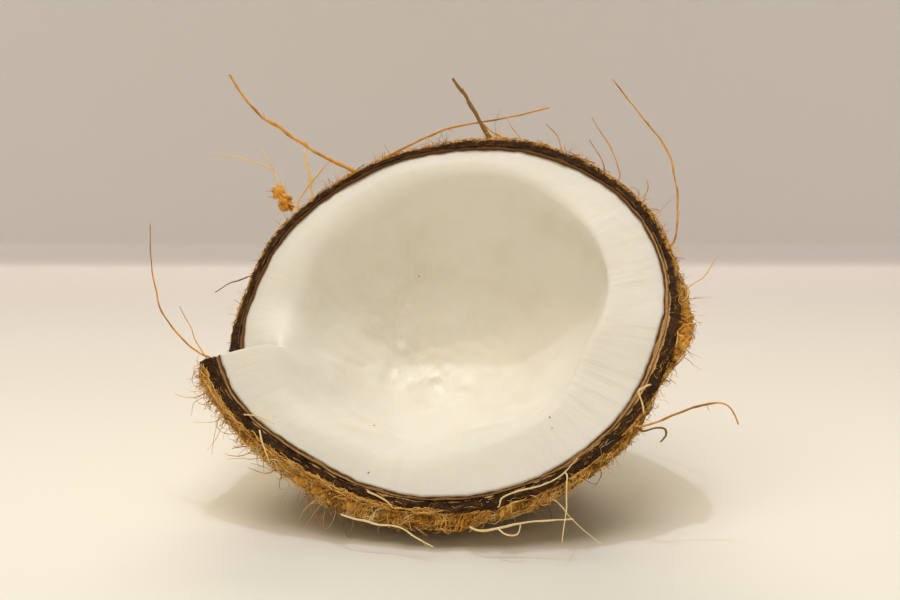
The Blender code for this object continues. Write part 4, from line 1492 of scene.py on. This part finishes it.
class CoconutSizes(bpy.types.PropertyGroup):
    radius: length("Nut radius", "Half the nut's width, over the shell", 58.6 * MM)
    half_length: length("Nut half length", "Half the nut's length, over the shell", 65.0 * MM)
    flesh_thickness: length("Flesh", "Thickness of the white flesh", 12.4 * MM)
    skin_thickness: length("Skin", "Thickness of the brown skin", 0.8 * MM)
    shell_thickness: length("Shell", "Thickness of the shell where it is thinnest", 2.2 * MM)
    coir_thickness: length("Coir", "Thickness of the matted coir", 2.2 * MM)


class CoconutColours(bpy.types.PropertyGroup):
    flesh: hue("Flesh", "The broken face of the flesh", (0.94, 0.935, 0.895))
    flesh_edge: hue("Flesh edge", "The flesh near the skin, a little cooler", (0.925, 0.925, 0.915))
    streak: hue("Streaks", "Greyer streaks across the broken face", (0.74, 0.71, 0.63))
    hollow: hue("Hollow", "The creamier wall of the hollow", (0.95, 0.94, 0.89))
    hollow_shade: hue("Hollow blotches", "Duller blotches in the hollow", (0.86, 0.83, 0.755))
    skin: hue("Skin", "The brown skin", (0.17, 0.068, 0.018))
    skin_pale: hue("Skin layers", "The tan layers beside the skin", (0.70, 0.44, 0.19))
    shell: hue("Shell", "The broken edge of the shell", (0.036, 0.018, 0.008))
    shell_red: hue("Shell flecks", "Reddish flecks in the shell", (0.11, 0.045, 0.015))
    # Painted glints: the pale colour of the specks that stand in for sparkles on the shell.
    shell_glint: hue("Shell glints", "Pale painted glints on the shell", (0.36, 0.30, 0.24))
    coir: hue("Coir", "Tan husk fibre", (0.96, 0.49, 0.095))
    coir_worn: hue("Worn coir", "Browner husk fibre", (0.86, 0.42, 0.08))
    coir_gold: hue("Golden coir", "Golden husk fibre", (1.0, 0.65, 0.19))
    # Dark husk fibre, and also painted shade in the hollows of the mat.
    coir_dark_and_shade: hue("Dark coir", "Husk fibre in the hollows of the mat", (0.22, 0.10, 0.028))
    fibre_pale: hue("Pale fibre", "Fresh pale fibre", (1.0, 0.83, 0.5))
    fibre_dark: hue("Dark fibre", "Weathered fibre", (0.30, 0.15, 0.033))
    pith: hue("Pith", "Orange husk pith", (0.80, 0.36, 0.04))


class CoconutStage(bpy.types.PropertyGroup):
    table_colour: hue("Table", "Colour of the table", (0.83, 0.83, 0.825))
    # Painted shade: the darker far table stands in for the light falling off by the wall.
    table_far_shade_colour: hue("Far table", "Painted shade on the table by the wall", (0.56, 0.53, 0.55))
    wall_colour: hue("Wall", "Colour of the wall behind", (0.83, 0.84, 0.925))
    wall_distance: length("Wall distance", "How far the wall stands behind the nut", 0.216)
    wall_height: length("Wall height", "How high the wall stands", 0.13)
    wall_bend: length("Wall bend", "Radius of the bend between table and wall", 0.009)
    lamp_power: power("Lamp", "Small lamp overhead, a little behind", 7.9)
    lamp_colour: hue("Lamp colour", "Colour of the small lamp", (0.72, 0.90, 1.0))
    top_power: power("Top light", "Soft light overhead", 11.4)
    top_colour: hue("Top light colour", "Colour of the soft light overhead", (1.0, 0.87, 0.76))
    left_power: power("Left light", "Soft light from the left", 5.2)
    left_colour: hue("Left light colour", "Colour of the light from the left", (1.0, 0.81, 0.54))
    back_power: power("Back light", "Soft low light from behind", 14.5)
    back_colour: hue("Back light colour", "Colour of the low light behind", (1.0, 0.90, 0.65))
    high_back_power: power("High back light", "Soft light behind, above the low one", 3.6)
    high_back_colour: hue("High back colour", "Colour of the higher light behind", (1.0, 0.97, 0.72))
    room_strength: share("Room light", "Light from all round the front", 0.52)
    room_dim: share("Dim room light", "Light from every side of the room", 0.11)
    room_colour: hue("Room colour", "Colour of the light all round", (1.0, 0.85, 0.56))


class COCONUT_OT_flesh(bpy.types.Operator):
    """Make the white flesh with its hollow"""

    bl_idname = "coconut.flesh"
    bl_label = "Flesh"

    def execute(self, context):
        make_flesh()
        make_specks()
        return {"FINISHED"}


class COCONUT_OT_skin(bpy.types.Operator):
    """Make the brown skin round the flesh"""

    bl_idname = "coconut.skin"
    bl_label = "Brown skin"

    def execute(self, context):
        make_brown_skin()
        return {"FINISHED"}


class COCONUT_OT_shell(bpy.types.Operator):
    """Make the broken shell"""

    bl_idname = "coconut.shell"
    bl_label = "Shell"

    def execute(self, context):
        make_shell()
        return {"FINISHED"}


class COCONUT_OT_coir(bpy.types.Operator):
    """Make the coir mat with the fibres in it and the frizz round it"""

    bl_idname = "coconut.coir"
    bl_label = "Coir"

    def execute(self, context):
        make_coir_mat()
        make_coir_fibres()
        make_frizz()
        make_rim_fuzz()
        make_pith_nodules()
        return {"FINISHED"}


class COCONUT_OT_strands(bpy.types.Operator):
    """Make the loose strands and the lump of pith"""

    bl_idname = "coconut.strands"
    bl_label = "Loose strands"

    def execute(self, context):
        for name, (radius, places) in STRANDS.items():
            make_strand(name, radius, places)
        make_husk_crumb()
        return {"FINISHED"}


class COCONUT_OT_stage(bpy.types.Operator):
    """Set up the table, the wall, the lights and the camera"""

    bl_idname = "coconut.stage"
    bl_label = "Stage"

    def execute(self, context):
        make_stage()
        return {"FINISHED"}


class COCONUT_PT_panel(bpy.types.Panel):
    bl_idname = "COCONUT_PT_panel"
    bl_label = "Coconut half"
    bl_space_type = "VIEW_3D"
    bl_region_type = "UI"
    bl_category = "Coconut"

    def draw(self, context):
        for group in ("coconut_sizes", "coconut_colours", "coconut_stage"):
            settings = getattr(context.scene, group)
            box = self.layout.box()
            for name in settings.bl_rna.properties.keys():
                if name not in ("rna_type", "name"):
                    box.prop(settings, name)
        for operator in OPERATORS:
            self.layout.operator(operator.bl_idname)


GROUPS = {
    "coconut_sizes": CoconutSizes,
    "coconut_colours": CoconutColours,
    "coconut_stage": CoconutStage,
}
OPERATORS = (
    COCONUT_OT_flesh,
    COCONUT_OT_skin,
    COCONUT_OT_shell,
    COCONUT_OT_coir,
    COCONUT_OT_strands,
    COCONUT_OT_stage,
)


def register():
    for name, group in GROUPS.items():
        bpy.utils.register_class(group)
        setattr(bpy.types.Scene, name, bpy.props.PointerProperty(type=group))
    for operator in OPERATORS:
        bpy.utils.register_class(operator)
    bpy.utils.register_class(COCONUT_PT_panel)


def unregister():
    bpy.utils.unregister_class(COCONUT_PT_panel)
    for operator in reversed(OPERATORS):
        bpy.utils.unregister_class(operator)
    for name, group in GROUPS.items():
        delattr(bpy.types.Scene, name)
        bpy.utils.unregister_class(group)


def main():
    register()
    bpy.ops.coconut.stage()
    bpy.ops.coconut.flesh()
    bpy.ops.coconut.skin()
    bpy.ops.coconut.shell()
    bpy.ops.coconut.coir()
    bpy.ops.coconut.strands()


if __name__ == "__main__":
    main()
